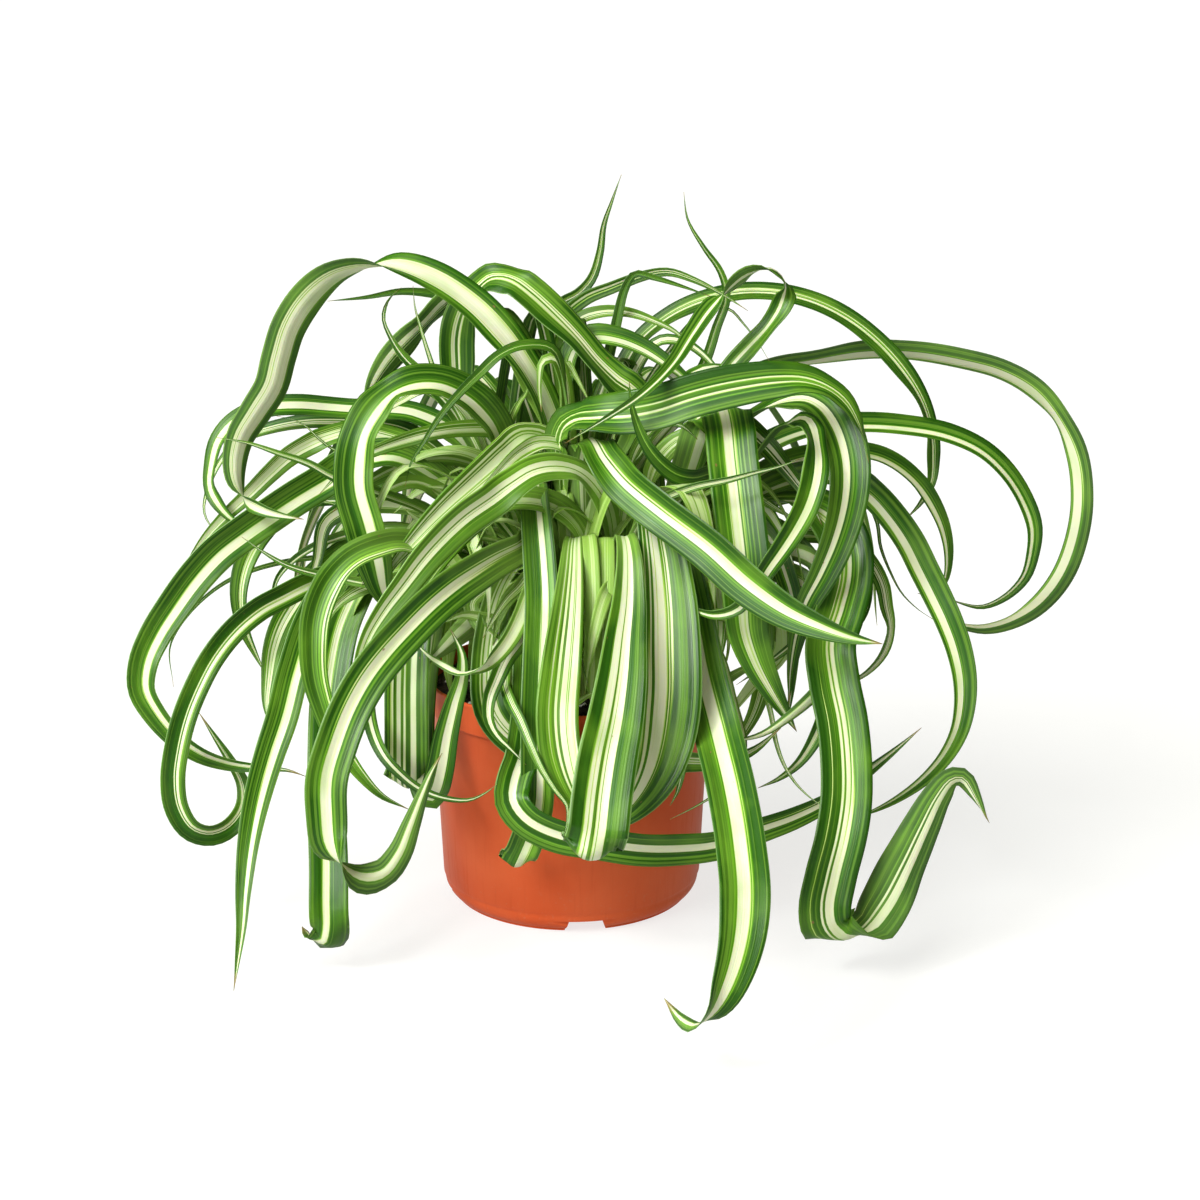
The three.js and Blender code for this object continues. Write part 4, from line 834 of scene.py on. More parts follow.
# Each blade: its width, the way that its upper side faces at each route point (up, down, left, right, front
# or back, or a mix, the last one to the tip), and its route from crown to tip as [across, up, toward the
# viewer] on the photograph's sight lines. A last list is where it keeps its full width, as shares of its
# length, and a third share there is where it starts to broaden.
FRONT_BLADES = [
    # The broad one that crosses in front of all the others.
    [20, "B B BU U UF F", [[-6, 0, 12], [-9, 50, 18], [-9, 74, 24], [-5, 83, 36], [2, 72, 50],
        [12, 60, 60], [30, 45, 74], [55, 26, 86], [75, 8, 94], [95, -6, 102], [115, -15, 110],
        [130, -20, 116], [145, -23, 122]], [0.55, 0.75]],
    # Straps that rise, bend over the rim and hang in front of the pot.
    [28.5, "B B BU UF F F F F F F F F F FD D DB B", [[2, -10, 18], [8, 20, 26], [11, 30, 36],
        [13, 32, 48], [15, 22, 62], [15, 0, 72], [13, -20, 82], [11, -40, 92], [8, -60, 100],
        [4, -80, 108], [1, -100, 115], [-1, -118, 120], [-3, -130, 122], [-4, -134, 118], [-4, -134, 111],
        [-3, -128, 106], [0, -108, 100]], [0.76, 0.93, 0.16]],
    [30, "B B BU UF F", [[8, 0, 10], [14, 40, 18], [18, 56, 28], [26, 50, 42], [32, 26, 54], [35, 0, 64],
        [36, -25, 72], [36, -50, 79], [33, -74, 84], [28, -90, 88], [20, -103, 89], [9, -113, 87],
        [-3, -116, 82]], [0.7, 0.75, 0.12]],
    [23, "B B BU UF F F F F F F F F FD D DB B", [[12, 0, 4], [24, 34, 10], [33, 36, 22], [42, 18, 36],
        [48, -10, 48], [53, -38, 60], [60, -66, 77], [67, -95, 102], [72, -125, 128], [74, -152, 150],
        [72, -176, 164], [66, -197, 173], [58, -212, 176], [50, -219, 174], [42, -216, 168],
        [33, -205, 160]], [0.5, 0.78]],
    [20.5, "B B BU U F", [[-10, 0, 8], [-11, 22, 14], [-13, 31, 24], [-14, 29, 36], [-15, 14, 50],
        [-17, -8, 62], [-20, -35, 75], [-22, -60, 84], [-20, -80, 88], [-15, -96, 90], [-8, -108, 88],
        [2, -112, 84]], [0.76, 0.82, 0.14]],
    [16.5, "B B BU U UF F F F F F F F F FD DB B", [[-20, 0, 4], [-28, 40, 6], [-33, 60, 14],
        [-34, 58, 26], [-33, 44, 36], [-31, 20, 46], [-30, 0, 55], [-31, -30, 66], [-32, -60, 73],
        [-32, -88, 70], [-33, -108, 64], [-37, -122, 60], [-42, -134, 58], [-44, -138, 54],
        [-43, -134, 50], [-40, -120, 48]], [0.5, 0.93]],
    # Hoops that swing across in front of the pot.
    [17, "B BU UF F", [[-24, 0, 4], [-31, 16, 14], [-35, 6, 34], [-36, -24, 54], [-37, -60, 66],
        [-40, -80, 68], [-44, -92, 72], [-45, -103, 76], [-38, -113, 77], [-22, -121, 76], [0, -125, 74],
        [22, -128, 70], [42, -128, 66], [60, -126, 62], [80, -119, 60], [100, -112, 58], [118, -103, 56],
        [138, -88, 54], [152, -77, 52], [165, -66, 50]], [0.35, 0.6]],
    [17, "B BU UF F", [[-28, 4, 0], [-41, 16, 14], [-50, 4, 30], [-57, -30, 46], [-55, -58, 57],
        [-40, -74, 57], [-16, -80, 61], [12, -82, 63], [40, -83, 62], [62, -83, 60], [78, -78, 57],
        [93, -66, 52]], [0.4, 0.6]],
    # Small curled ones between the straps.
    [10, "B BU UF F", [[-26, 10, 10], [-33, 12, 34], [-36, -6, 52], [-41, -20, 62], [-48, -30, 67],
        [-53, -41, 71], [-57, -52, 73], [-57, -62, 74], [-53, -70, 74], [-46, -77, 74], [-38, -85, 72]]],
    [6, "B BU F", [[-30, 0, 6], [-38, 10, 24], [-45, -18, 44], [-49, -40, 58], [-46, -52, 74],
        [-41, -62, 82], [-36, -74, 88], [-30, -87, 92], [-23, -98, 95], [-17, -106, 97], [-17, -115, 98],
        [-19, -124, 98]]],
    [9, "B BU UF F F F FD D DB B", [[-22, 4, 14], [-30, 10, 32], [-35, 4, 46], [-40, -8, 56],
        [-46, -20, 66], [-54, -30, 74], [-62, -36, 79], [-71, -38, 81], [-80, -34, 78], [-88, -29, 72],
        [-95, -22, 66]]],
    [7, "B BU F", [[-22, 0, 16], [-32, 16, 32], [-42, 6, 44], [-48, 0, 48], [-54, -9, 51],
        [-60, -20, 52]]],
    # Arches that start at the front tuft and sweep to the left.
    [17.5, "R RF RF RUF UUF UF UF UF F", [[2, -10, 12], [6, 22, 16], [4, 44, 21], [-3, 57, 27],
        [-12, 65, 33], [-23, 67, 39], [-34, 65, 45], [-44, 59, 50], [-55, 51, 55], [-68, 42, 60],
        [-80, 31, 65], [-90, 20, 69], [-100, 7, 72], [-110, -6, 74], [-118, -19, 75], [-123, -33, 74],
        [-124, -48, 71], [-120, -62, 66]]],
    [15, "R RF RUF UF UF UF F", [[-7, 0, 12], [-7, 25, 17], [-12, 38, 23], [-22, 47, 29], [-35, 51, 35],
        [-50, 50, 41], [-62, 44, 46], [-72, 35, 51], [-80, 26, 54], [-88, 15, 56], [-95, 4, 57],
        [-102, -8, 58], [-108, -20, 58], [-112, -34, 56]]],
    # The one that runs down to the lower left, turns in a hairpin and climbs again.
    [20, "B BU UF F F F F F F F F F F F F FD D DB B", [[-18, 0, 14], [-25, 22, 22], [-33, 30, 32],
        [-42, 26, 42], [-52, 21, 52], [-62, 15, 61], [-74, 7, 70], [-86, -3, 78], [-98, -15, 84],
        [-109, -27, 89], [-119, -40, 93], [-128, -56, 97], [-135, -74, 100], [-140, -92, 102],
        [-140, -110, 103], [-138, -126, 103], [-131, -138, 101], [-121, -143, 98], [-111, -141, 95],
        [-103, -131, 93], [-97, -116, 91], [-91, -100, 90], [-86, -88, 89], [-81, -79, 88]],
        [0.38, 0.66]],
    # The long one that arches to the right across the middle.
    [22.5, "B LF LUF UF UF UFF UFF UFF UFF UFF UFF UF RUF RF RF R", [[-14, 10, 10], [-19, 60, 14],
        [-21, 83, 21], [-15, 92, 32], [-2, 94, 42], [14, 95, 48], [30, 98, 52], [45, 103, 54],
        [60, 107, 55], [75, 110, 56], [90, 112, 57], [105, 112, 57], [117, 108, 57], [126, 101, 56],
        [132, 91, 55], [136, 80, 54], [138, 70, 54]], [0.46, 0.66, 0.2]],
    # Thin ones in front.
    [5, "B BU UF F", [[6, 0, 22], [16, 30, 40], [27, 48, 56], [38, 54, 66], [50, 58, 70], [65, 61, 72],
        [80, 65, 73], [92, 68, 73], [103, 72, 73]]],
    [6.5, "R R RUF UF UF F", [[-16, 60, 14], [-18, 105, 16], [-24, 128, 20], [-40, 130, 26],
        [-52, 125, 30], [-62, 116, 33], [-72, 106, 36], [-82, 94, 38], [-91, 80, 40], [-97, 70, 41],
        [-100, 58, 42]]],
    [10, "R RF UF UF F", [[-20, 10, 6], [-18, 56, 10], [-18, 76, 16], [-30, 80, 26], [-40, 76, 33],
        [-48, 69, 38], [-56, 60, 42], [-64, 51, 45], [-74, 41, 46]]],
    [15, "UB B", [[-24, -10, 14], [-44, -6, 22], [-60, -9, 29], [-72, -18, 34], [-82, -27, 37],
        [-92, -35, 38]]],
    [9, "R UF F", [[-34, 4, 14], [-56, 6, 26], [-66, -2, 34], [-62, -13, 39], [-54, -20, 42],
        [-48, -29, 45], [-42, -39, 47]]],
    [6.5, "F UF F", [[-38, 20, 2], [-46, 46, 14], [-53, 44, 24], [-47, 35, 30], [-40, 26, 33],
        [-32, 14, 34]]],
]
# The looks of those blades, in their order.
FRONT_LOOKS = "nmfskrmmmmwmllnnmdpmmw"
# Small blades between the others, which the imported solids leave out: age, then a row as above.
FRONT_SMALL_BLADES = [
    ["grown", 2.5, "F", [[-4, 16, 12], [-8, -5, 30], [-11, -20, 56], [-9, -32, 66], [-6, -45, 74]]],
    ["grown", 5, "F", [[-22, -40, 44], [-20, -60, 60], [-13, -54, 66], [-3, -48, 70], [6, -47, 68]]],
    ["young", 8, "B BU UF F", [[-5, 4, 16], [-7, 22, 24], [-6, 33, 32], [-5, 27, 42], [-4, 8, 50],
        [-4, -20, 56], [-5, -52, 60]], [0.62, 0.9]],
    ["young", 9, "B BU UF F", [[3, 4, 14], [3, 22, 22], [3, 32, 30], [3, 26, 40], [3, 8, 48],
        [2, -20, 54], [-1, -52, 58]], [0.6, 0.9]],
    ["young", 8, "UF UF F", [[6, -8, 20], [6, 4, 34], [5, 6, 46], [2, 0, 54], [-2, -14, 60],
        [-6, -34, 64], [-8, -50, 66]]],
    ["young", 10, "F", [[-14, 10, -2], [-18, 40, 0], [-20, 66, 2], [-22, 86, 2]]],
    ["young", 10, "F", [[-8, 10, 0], [-8, 40, 2], [-8, 64, 4], [-10, 88, 4]]],
    ["young", 9, "F", [[0, 10, -4], [2, 40, -2], [4, 66, 0], [8, 88, 0]]],
    ["grown", 10, "F", [[20, -20, 40], [40, -60, 56], [42, -85, 62], [40, -98, 66], [36, -106, 68]]],
    ["young", 8, "F", [[-14, 60, 0], [-18, 122, 2], [-10, 110, 6], [-4, 98, 8]]],
    ["grown", 10, "RUF UF F", [[-30, -6, 16], [-38, 6, 30], [-46, 2, 38], [-52, -10, 42],
        [-55, -24, 44]]],
    ["grown", 9, "UF F", [[-36, -16, 20], [-46, -14, 34], [-58, -10, 38], [-70, -8, 38], [-80, -12, 36]]],
]
grow_tuft("front_tuft", FRONT_CROWN, FRONT_BLADES, FRONT_LOOKS, FRONT_SMALL_BLADES, FRONT_SPAN)


# Left tuft: leaves of the same plant that rise over the left of the pot and hang low on that side, with the
# tallest arch and the blade that curls back under itself. They grow from their own crown in the soil.
LEFT_CROWN = (-27, 5)
LEFT_SPAN = (70, 300)
LEFT_BLADES = [
    # The tallest arch, over the left side.
    [19, "R RF RF RUF RUF UF UF UF UUF UUB UB UBB LBB LBB LBB LBB LBB LBB LB L F", [[-32, 20, -8],
        [-25, 60, -4], [-24, 85, 0], [-30, 104, 3], [-40, 122, 6], [-52, 138, 8], [-66, 152, 9],
        [-84, 164, 10], [-104, 171, 10], [-122, 170, 9], [-137, 165, 8], [-150, 154, 6], [-159, 140, 5],
        [-164, 124, 4], [-168, 109, 4], [-176, 96, 5], [-184, 83, 7], [-187, 70, 9], [-186, 59, 11],
        [-182, 51, 14], [-174, 46, 18], [-164, 43, 21], [-152, 41, 24]], [0.38, 0.74]],
    # The far left blade, which curls back under itself.
    [18.5, "R RUF UF UF F F F F F F F F F F F F F F UF UF F", [[-50, 30, -14], [-80, 60, -8],
        [-105, 74, -4], [-125, 71, -2], [-140, 62, 0], [-155, 53, 3], [-170, 43, 6], [-183, 34, 9],
        [-196, 24, 12], [-208, 11, 15], [-219, -4, 18], [-228, -18, 20], [-234, -32, 22], [-235, -46, 22],
        [-229, -58, 22], [-218, -71, 21], [-205, -80, 20], [-190, -85, 18], [-175, -87, 16],
        [-160, -88, 14], [-151, -91, 12]]],
    [12.5, "R RUF UF UF F", [[-60, 30, -22], [-95, 30, -18], [-120, 20, -10], [-138, 12, 0], [-150, 8, 8],
        [-162, 2, 14], [-175, -5, 20], [-188, -16, 25], [-199, -30, 29], [-207, -45, 32], [-213, -60, 34],
        [-217, -76, 35], [-219, -92, 34], [-217, -107, 31], [-210, -118, 28], [-200, -121, 23],
        [-190, -117, 18], [-183, -107, 13], [-183, -95, 9], [-190, -82, 7], [-198, -70, 6],
        [-206, -58, 6]], [0.36, 0.72]],
    # Hanging ribbons on the left.
    [16.5, "R UF UF F", [[-70, 20, -16], [-105, 30, -8], [-132, 14, 4], [-148, -10, 16], [-157, -36, 30],
        [-163, -60, 42], [-169, -78, 50], [-174, -95, 60], [-178, -112, 70], [-181, -130, 80],
        [-183, -150, 89], [-184, -168, 97], [-186, -185, 103], [-188, -201, 108]], [0.4, 0.55]],
    [12, "R UF UF F", [[-80, 26, -26], [-120, 30, -22], [-145, 14, -14], [-157, -2, -6], [-164, -14, 2],
        [-168, -26, 8], [-170, -40, 14], [-171, -55, 20], [-168, -68, 24]], [0.36, 0.72]],
    [11.5, "R UF UF F", [[-90, 44, -32], [-130, 52, -32], [-158, 48, -28], [-172, 36, -24],
        [-181, 22, -20], [-185, 8, -17], [-185, -5, -15], [-182, -17, -14], [-177, -28, -13],
        [-172, -38, -12]], [0.38, 0.72]],
    [15, "R RUF UF UF UF UF F", [[-56, 0, 8], [-80, 20, 26], [-101, 29, 44], [-114, 27, 54],
        [-126, 22, 58], [-135, 14, 61], [-142, 3, 64], [-146, -10, 66], [-147, -25, 68], [-146, -40, 69],
        [-142, -55, 70], [-137, -68, 70], [-130, -80, 71], [-122, -91, 72], [-112, -101, 73],
        [-98, -108, 73]]],
    # The front arch on the left, with a waved hanging end.
    [20, "R RF RUF UF UF UF UF LUF LFF LFF F", [[-44, 20, -2], [-48, 60, 6], [-52, 86, 14], [-60, 98, 20],
        [-70, 106, 25], [-82, 111, 30], [-95, 111, 35], [-107, 106, 39], [-116, 97, 42], [-123, 84, 44],
        [-126, 70, 45], [-126, 56, 45], [-121, 38, 44], [-116, 20, 42], [-112, 4, 40], [-106, -8, 36]],
        [0.4, 0.88]],
    [6, "R RUF UF UF UF LF F", [[-50, 40, -14], [-62, 84, -10], [-76, 103, -6], [-90, 107, -2],
        [-101, 102, 2], [-110, 96, 6], [-116, 84, 10], [-117, 70, 12]]],
    # Broad cream ones that lean to the lower left.
    [17, "R RF UF UF F", [[-34, 20, -6], [-27, 60, 0], [-28, 80, 8], [-38, 83, 18], [-48, 76, 26],
        [-58, 67, 32], [-68, 58, 37], [-78, 49, 40], [-88, 39, 42], [-97, 29, 42], [-106, 18, 40],
        [-114, 4, 36]]],
    # Side shoots between the arches.
    [13, "R RF UF UF UF UF UF UF UF LUF LF LF F", [[-50, 40, -22], [-72, 82, -24], [-95, 95, -23],
        [-112, 97, -22], [-126, 97, -21], [-140, 98, -20], [-155, 99, -19], [-170, 98, -18],
        [-185, 92, -17], [-195, 82, -15], [-199, 69, -13], [-200, 58, -11], [-196, 49, -9],
        [-190, 42, -8], [-180, 35, -8]], [0.38, 0.8]],
    [10, "R RF UF UF UF UF UF LUF LF LF F", [[-60, 50, -26], [-95, 84, -29], [-115, 90, -32],
        [-130, 91, -34], [-150, 91, -34], [-168, 88, -35], [-184, 82, -36], [-195, 70, -36],
        [-202, 54, -36], [-203, 44, -35], [-197, 33, -34]]],
    [5.5, "R UF UF F", [[-64, 20, 6], [-88, 44, 20], [-106, 52, 28], [-120, 57, 32], [-137, 63, 35],
        [-150, 70, 38], [-165, 75, 40], [-180, 80, 41], [-197, 83, 42]]],
    [12, "R UF UF UF UF F", [[-66, 50, -24], [-92, 76, -20], [-112, 84, -18], [-128, 86, -16],
        [-140, 83, -14], [-150, 79, -13], [-160, 73, -12], [-170, 64, -12], [-180, 54, -12],
        [-192, 43, -14], [-203, 31, -16], [-211, 19, -18], [-217, 7, -20]]],
    [10.5, "R UF UF UF UF F", [[-40, 50, -6], [-44, 78, -2], [-54, 86, 2], [-70, 87, 5], [-86, 85, 8],
        [-102, 81, 10], [-118, 75, 11], [-132, 66, 11], [-144, 54, 11]]],
    [13.5, "R UB UB B", [[-46, 44, -14], [-58, 64, -12], [-74, 71, -10], [-92, 70, -8], [-108, 65, -7],
        [-124, 56, -6], [-138, 44, -6]]],
    [10.5, "R UF UF UF F", [[-50, 20, -2], [-68, 44, 6], [-84, 56, 12], [-96, 60, 16], [-107, 57, 19],
        [-117, 49, 20], [-124, 36, 20]]],
    [5.5, "R UF UF UF F", [[-56, -6, 12], [-80, 2, 22], [-102, 7, 28], [-120, 8, 32], [-135, 11, 34],
        [-150, 14, 36], [-162, 18, 37], [-174, 25, 38], [-184, 32, 39]]],
    [11, "R UF UF UF F", [[-58, 4, 4], [-84, 12, 14], [-104, 9, 22], [-120, 6, 27], [-130, 1, 29],
        [-137, -6, 29], [-141, -16, 28]]],
    [4, "F", [[-56, 60, -12], [-72, 95, -10], [-84, 115, -8], [-88, 126, -6], [-92, 139, -4],
        [-95, 150, -2], [-96, 161, 0]]],
    [7.5, "F F F F F LF LF RF R", [[-56, 60, -18], [-74, 95, -16], [-85, 108, -14], [-93, 117, -12],
        [-101, 125, -10], [-107, 134, -8], [-111, 144, -6], [-109, 153, -4], [-102, 160, -2]]],
    [8, "R RF UF F", [[-44, 60, -10], [-46, 90, -8], [-42, 100, -6], [-38, 106, -4], [-36, 114, -4]]],
    # Ribbons that hang in front of the pot's left side.
    [22, "R RUF UF F F F F F F FD D", [[-52, 10, 0], [-74, 28, 8], [-88, 20, 18], [-95, 0, 29],
        [-98, -22, 38], [-99, -45, 44], [-99, -68, 47], [-99, -86, 48], [-99, -95, 45], [-98, -97, 39],
        [-97, -86, 33]], [0.4, 0.96]],
    [19, "R UF UF F F F F F F F FD D", [[-80, 16, -8], [-112, 18, 2], [-130, -8, 14], [-138, -42, 28],
        [-140, -78, 44], [-140, -108, 58], [-139, -135, 67], [-139, -155, 73], [-139, -170, 75],
        [-141, -177, 72], [-146, -176, 66], [-153, -168, 62]], [0.4, 0.94]],
    [7.5, "R UF F", [[-76, 2, 4], [-102, 2, 14], [-115, -22, 28], [-119, -48, 44], [-117, -66, 58],
        [-111, -80, 68], [-102, -90, 73], [-93, -97, 76], [-80, -102, 78], [-67, -103, 80],
        [-58, -99, 82], [-53, -95, 83]]],
    [14, "R UF F", [[-64, 6, 2], [-80, 4, 10], [-89, -30, 22], [-92, -66, 33], [-91, -92, 44],
        [-88, -101, 54], [-85, -98, 62], [-82, -87, 67], [-79, -70, 69], [-75, -54, 70], [-71, -40, 71],
        [-71, -28, 72], [-77, -15, 73]], [0.3, 0.7]],
    [7, "F UF F", [[-44, 20, -2], [-60, 50, 8], [-67, 42, 22], [-63, 25, 34], [-58, 10, 41],
        [-57, -4, 45], [-58, -16, 47]]],
]
LEFT_LOOKS = "wrhrmrjrppwmmlloomlmgofnmwp"
LEFT_SMALL_BLADES = [
    ["young", 11, "R RF RUF UF", [[-52, -14, 20], [-58, 6, 26], [-64, 26, 30], [-70, 42, 30],
        [-86, 56, 24]]],
    ["young", 9, "R RF RUF UF", [[-38, 6, 14], [-42, 28, 20], [-56, 45, 22], [-74, 56, 18],
        [-92, 58, 12]]],
    ["young", 12, "R RUF UF F", [[-44, 0, -6], [-58, 14, -2], [-70, 6, 2], [-76, -14, 6], [-78, -34, 8],
        [-76, -52, 8]]],
    ["grown", 11, "R UF UF F", [[-40, -6, 0], [-50, -2, 6], [-60, -14, 10], [-64, -34, 12],
        [-62, -54, 12]]],
    ["grown", 3, "UF F", [[-60, 2, 20], [-56, 12, 24], [-48, 14, 28], [-40, 13, 30]]],
    ["young", 12, "RF UF UF F", [[-56, -6, 16], [-66, 4, 22], [-77, 20, 26], [-88, 36, 24],
        [-100, 46, 18]]],
    ["young", 8, "UF UF F", [[-54, -8, 24], [-64, 1, 30], [-76, -4, 34], [-86, -10, 36], [-94, -20, 36]]],
    ["young", 9, "R UF UF UF F", [[-40, 40, -10], [-52, 66, -8], [-70, 76, -6], [-90, 74, -6],
        [-108, 62, -6]]],
    ["young", 10, "R UF UF UF F", [[-44, 30, -4], [-58, 52, 0], [-74, 60, 2], [-92, 56, 4],
        [-106, 44, 4]]],
    ["young", 8, "R UF UF UF F", [[-48, 16, 0], [-62, 38, 6], [-78, 46, 10], [-92, 42, 12],
        [-104, 30, 12]]],
    ["grown", 10, "R UF UF F", [[-60, 50, -30], [-100, 60, -34], [-130, 40, -34], [-142, 20, -34],
        [-146, 0, -34]]],
    ["grown", 9, "R UF UF F", [[-60, 30, -36], [-96, 30, -38], [-120, 10, -38], [-126, -14, -38]]],
    ["grown", 10, "R UF UF F", [[-50, 20, -30], [-84, 26, -30], [-106, 8, -30], [-112, -20, -30]]],
    ["grown", 3, "R UF UF F", [[-60, 46, -20], [-80, 50, -16], [-110, 70, -14], [-135, 76, -12],
        [-145, 83, -10], [-150, 88, -10], [-157, 92, -10], [-166, 94, -10]]],
    ["grown", 6, "R UF F", [[-90, 34, -20], [-140, 30, -18], [-165, 12, -16], [-168, -5, -16],
        [-166, -15, -16]]],
    ["grown", 7, "R UF UF F", [[-90, 40, -30], [-120, 50, -30], [-155, 50, -28], [-142, 50, -26],
        [-130, 47, -24]]],
    ["grown", 12, "R UF F", [[-80, 40, -20], [-120, 48, -16], [-140, 40, -14], [-145, 20, -12],
        [-150, 5, -12], [-152, -8, -14]]],
    ["grown", 3, "F", [[-120, 20, -40], [-190, 10, -44], [-220, -22, -46], [-219, -45, -46]]],
]
grow_tuft("left_tuft", LEFT_CROWN, LEFT_BLADES, LEFT_LOOKS, LEFT_SMALL_BLADES, LEFT_SPAN)


# Right tuft: leaves of the same plant that hoop and hang on the right, with the long strap that turns up
# again at its end. They grow from their own crown in the soil.
RIGHT_CROWN = (30, -1)
RIGHT_SPAN = (20, 290)
RIGHT_BLADES = [
    # Hangs on the right behind the broad crossing blade.
    [22, "L LU U UF UF F", [[34, 30, 2], [60, 76, 8], [85, 98, 16], [103, 104, 24], [114, 100, 32],
        [122, 90, 38], [127, 75, 43], [128, 60, 47], [126, 45, 50], [121, 28, 53], [114, 12, 54],
        [106, -3, 54], [101, -20, 50], [98, -38, 44], [97, -54, 38]]],
    # The long hanging strap that turns up again at its end.
    [25, "L LU U UF F F F F F F F F F F F F FD D DB B B B B B UB U", [[38, 16, -6], [70, 44, 0],
        [98, 50, 10], [117, 42, 22], [126, 28, 32], [127, 12, 40], [123, -5, 48], [118, -22, 55],
        [120, -42, 62], [124, -62, 68], [126, -82, 73], [126, -102, 77], [123, -122, 80], [118, -142, 82],
        [115, -158, 83], [117, -169, 82], [124, -175, 79], [134, -171, 76], [146, -156, 74],
        [156, -137, 72], [165, -118, 70], [173, -102, 68], [180, -93, 66], [186, -92, 64],
        [193, -102, 62], [200, -115, 60]], [0.3, 0.78]],
    # Wide strap right of the middle.
    [25, "B B BU UF F", [[32, 20, 6], [48, 66, 12], [58, 94, 18], [63, 99, 28], [66, 91, 42],
        [68, 72, 52], [70, 55, 58], [72, 38, 62], [74, 20, 65], [75, 2, 67], [76, -16, 67], [81, -32, 64],
        [88, -46, 59], [95, -58, 53], [101, -68, 47]], [0.4, 0.7]],
    # The inner hoop on the right.
    [14, "L LU U UF RF F", [[40, 20, 6], [72, 62, 20], [94, 88, 34], [105, 92, 44], [110, 80, 53],
        [110, 64, 60], [106, 49, 66], [100, 37, 71], [93, 26, 75], [86, 16, 79], [79, 5, 82],
        [70, -5, 82], [60, -8, 78], [50, -6, 68], [40, 0, 56]]],
    # Small dark curl with its tip up.
    [11, "B B UF F", [[38, 30, 0], [54, 56, 12], [60, 64, 26], [56, 64, 38], [48, 62, 46], [39, 64, 51],
        [31, 70, 55], [24, 79, 58], [19, 90, 60], [16, 101, 61], [15, 112, 61]]],
    # Loop at the upper right, whose tip comes back to the middle.
    [11.5, "L LF LF LF LUF UF RU RU RUB UB UF UF UF UF F", [[34, 50, -4], [54, 98, 0], [68, 119, 3],
        [78, 130, 6], [87, 140, 8], [94, 152, 10], [95, 163, 12], [88, 170, 14], [77, 167, 17],
        [66, 159, 20], [56, 149, 24], [47, 136, 32], [38, 122, 48], [28, 111, 60], [17, 102, 65],
        [0, 91, 67], [-18, 80, 67]]],
    [13, "L LF UF UF UF UF UF UF UF F", [[44, 30, -16], [72, 70, -20], [100, 86, -24], [130, 90, -28],
        [155, 89, -31], [178, 85, -34], [196, 77, -36], [209, 65, -38], [218, 51, -40], [223, 37, -41],
        [222, 23, -42], [218, 11, -44], [208, 1, -46], [196, -4, -48], [185, -2, -50], [178, 1, -52]]],
    [10.5, "L LF UF UF UF UF F", [[42, 30, -10], [88, 68, -12], [120, 76, -14], [140, 75, -16],
        [152, 70, -18], [163, 61, -20], [171, 50, -22], [177, 36, -24], [179, 22, -26], [177, 9, -28],
        [171, 2, -30], [163, 3, -32]], [0.4, 0.62]],
    # The large hanging curve at the far right.
    [15, "L LUF UF UF F", [[46, 24, -2], [80, 54, 2], [108, 64, 4], [128, 62, 7], [140, 54, 10],
        [150, 43, 14], [159, 30, 17], [166, 16, 20], [173, 2, 23], [179, -11, 26], [184, -25, 28],
        [187, -40, 30], [187, -54, 32], [184, -68, 34], [177, -81, 36], [167, -92, 38], [155, -101, 40],
        [142, -108, 42], [128, -113, 44]]],
    [15, "L UF UF UF F", [[36, 50, 0], [54, 86, 4], [70, 90, 8], [84, 80, 13], [93, 70, 17],
        [101, 60, 21], [108, 50, 25], [114, 38, 27]]],
    # Small twisted and thin ones.
    [2.5, "F", [[80, 44, -8], [112, 52, -6], [136, 50, -4], [142, 40, -3], [144, 27, -2], [149, 14, 0],
        [155, 3, 1], [163, -5, 2], [172, -11, 3]]],
    [9, "L UF F F F F RF F", [[80, 30, -6], [112, 36, 4], [132, 26, 10], [140, 17, 13], [145, 7, 15],
        [147, -4, 16], [149, -15, 16], [146, -27, 16], [139, -36, 16], [130, -42, 16], [118, -46, 16]]],
    [9, "L UF F", [[78, 24, -14], [114, 32, -6], [132, 22, -2], [137, 8, 1], [136, -6, 3], [130, -17, 5],
        [122, -26, 6]]],
    [13, "L UF F", [[70, 10, -2], [98, 12, 8], [114, -4, 20], [119, -30, 31], [117, -55, 38],
        [110, -72, 42], [102, -84, 44], [92, -92, 45], [81, -97, 46]]],
    [10, "UB B", [[70, 16, 4], [100, 24, 10], [122, 8, 22], [128, -14, 34], [124, -32, 42],
        [116, -43, 50], [106, -53, 57], [95, -62, 63], [84, -69, 65], [73, -72, 65], [62, -72, 63]]],
    [3, "F", [[64, -10, 14], [82, -40, 34], [88, -60, 46], [90, -72, 52], [94, -84, 58], [100, -94, 61],
        [108, -102, 63], [117, -108, 64]]],
    [3, "F", [[56, -20, 30], [70, -56, 48], [74, -78, 64], [68, -93, 67], [58, -101, 69], [48, -107, 71],
        [36, -113, 72]]],
    [12, "L UF UF F", [[24, 50, -4], [30, 70, 0], [44, 82, 6], [58, 74, 10], [72, 60, 14], [88, 48, 17],
        [102, 40, 18]]],
]
RIGHT_LOOKS = "cmerdraabmgmmmwmml"
